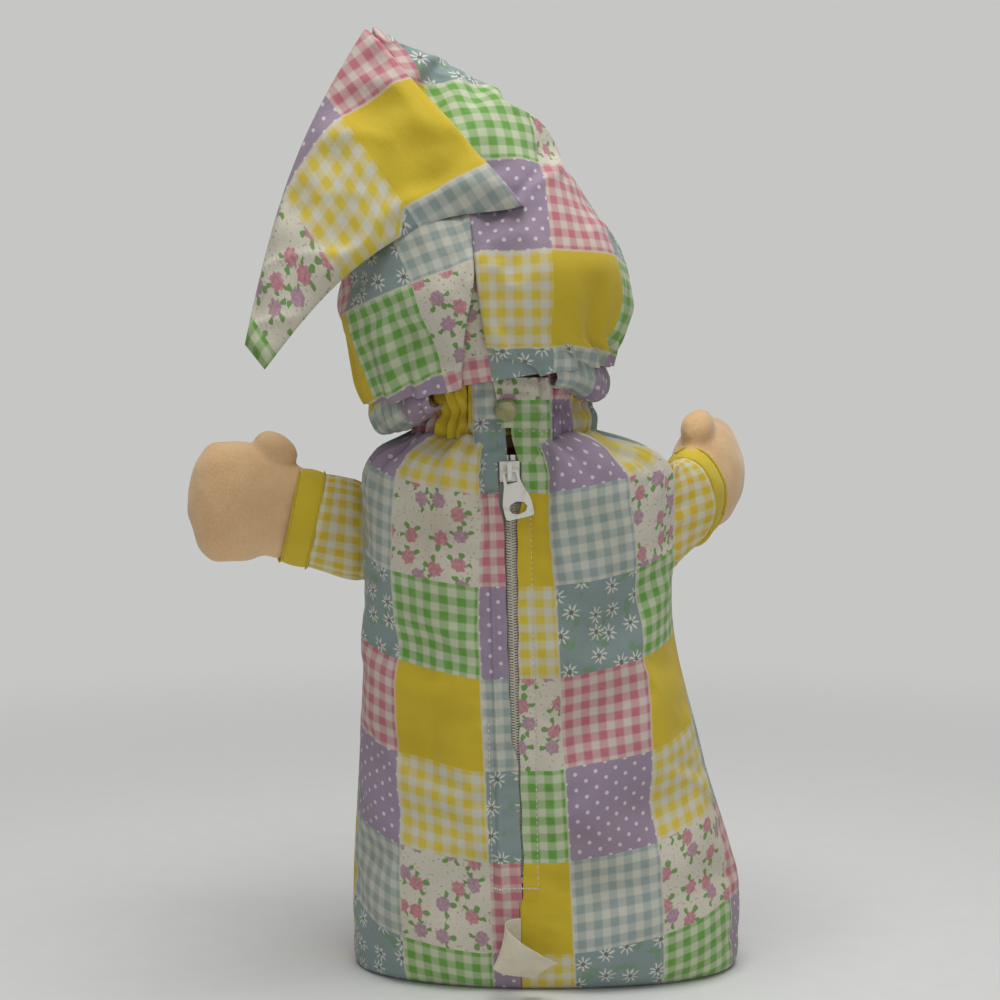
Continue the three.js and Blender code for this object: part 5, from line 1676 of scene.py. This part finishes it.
bpy.context.view_layer.update()
neck_line = neck_z + 2.5
tack_z = zip_foot - 4.9
stitches = [
    stitch_row("zip_stitches_right", [back_right, flaps[1]], beside_zip(9, tack_z + 1), beside_zip(9.4, 232)),
    stitch_row("zip_stitches_left", [back_left, flaps[-1]], beside_zip(-12.6, tack_z + 1),
               beside_zip(-12.6, 130)),
    stitch_row("neck_stitches_left", [placket_left], (-28, neck_line), (-12.5, neck_line)),
    stitch_row("neck_stitches_right", [placket_right], (-6, neck_line), (9.5, neck_line)),
    stitch_row("placket_stitches", [placket_right], (5.5, neck_z - 8), (5.5, neck_z + 24)),
]
tack = stitch_row("bar_tack_thread", [back_left, back_right, *flaps.values()],
                  beside_zip(-13, tack_z), beside_zip(9.4, tack_z), stitch=1.1, thread=0.6)
print("stitch rows:", len(stitches) + 1)

# %% [markdown]
# ## Riding on the imported bodies
# Each dressed piece moves with the body whose solid it stands for, and that solid is hidden. The tail is
# the one piece left unattached: it stays where it is built.

# %% Pieces, bodies and solids
dressed = [
    (back_left, "sack", ["sack_back_left"]), (back_right, "sack", ["sack_back_right"]),
    (front, "sack", ["sack_front"]), (base, "sack", ["sack_base"]), (body, "sack", ["torso_filling"]),
    (zip_tapes[-1], "sack", ["zip_tape_left"]), (zip_tapes[1], "sack", ["zip_tape_right"]),
    (zip_spirals[-1], "sack", ["zip_coil_left"]), (zip_spirals[1], "sack", ["zip_coil_right"]),
    (placket_left, "sack", ["placket_left"]), (placket_right, "sack", ["placket_right"]),
    (collars[-1], "sack", ["collar_gathers_left"]), (collars[1], "sack", ["collar_gathers_right"]),
    (tab, "tab", ["neck_tab"]),
    (hoods[1], "head", ["hood_right", "cap_cone"]), (hoods[-1], "head", ["hood_left"]),
    (facing, "head", []), (lining, "head", []),
    (hems[-1], "head", ["hood_hem_left"]), (hems[1], "head", ["hood_hem_right"]),
    (band, "head", ["hood_band"]), (head_skin, "head", ["head_cover", "head_filling"]),
    (neck_skin, "neck", ["neck_stem"]), (eyes[-1], "head", ["eye_left"]), (eyes[1], "head", ["eye_right"]),
    (nose, "head", ["nose"]), (mouth, "head", ["mouth"]), (tail, "tail", ["cap_tail"]),
    (label, "label", ["care_label"]), (flaps[-1], "sack", []), (flaps[1], "sack", []),
    (tack, "sack", ["bar_tack"]), *((row, "sack", []) for row in stitches),
]
for side, name in side_names.items():
    dressed.append((sleeves[side], name + "_arm", ["sleeve_" + name, "arm_filling_" + name]))
    dressed.append((cuffs[side], name + "_arm", ["cuff_" + name]))
    dressed.append((hands[side], name + "_hand", ["hand_cover_" + name, "hand_filling_" + name]))
for piece, body_name, nodes in dressed:
    if piece == tail:
        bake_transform(tail)
    else:
        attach(piece, body_name)
    if nodes:
        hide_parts(*nodes)
for side, flap in flaps.items():
    root = on_zip(flap_root[side], -3.0, 100.0) * mm
    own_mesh(flap)
round_edges("snap_cap", brass, 0.4)
round_edges("snap_stud", brass, 0.2)
round_edges("neck_elastic", yellow_elastic, 0.3)
print("dressed pieces:", len(dressed))

# %% [markdown]
# ## What is cloth and what is stuffed
# Each panel is listed with the stuffed piece or the cloth that holds it, grouped by how it is held:
# stretched, gathered, laid or folded.

# %% How the cloth is held
held_cloth = {
    "stretched": [(body, (back_left, back_right, front, base)), (head_skin, hoods.values())],
    "gathered": [(neck_skin, collars.values()), (head_skin, hems.values())],
    "laid": [(body, (placket_left, placket_right, *zip_tapes.values())), (head_skin, [facing, lining])],
    "folded": [(placket_right, [tab]), (back_left, [label])],
}
for side in side_names:
    held_cloth["stretched"].append((hands[side], [sleeves[side], cuffs[side]]))
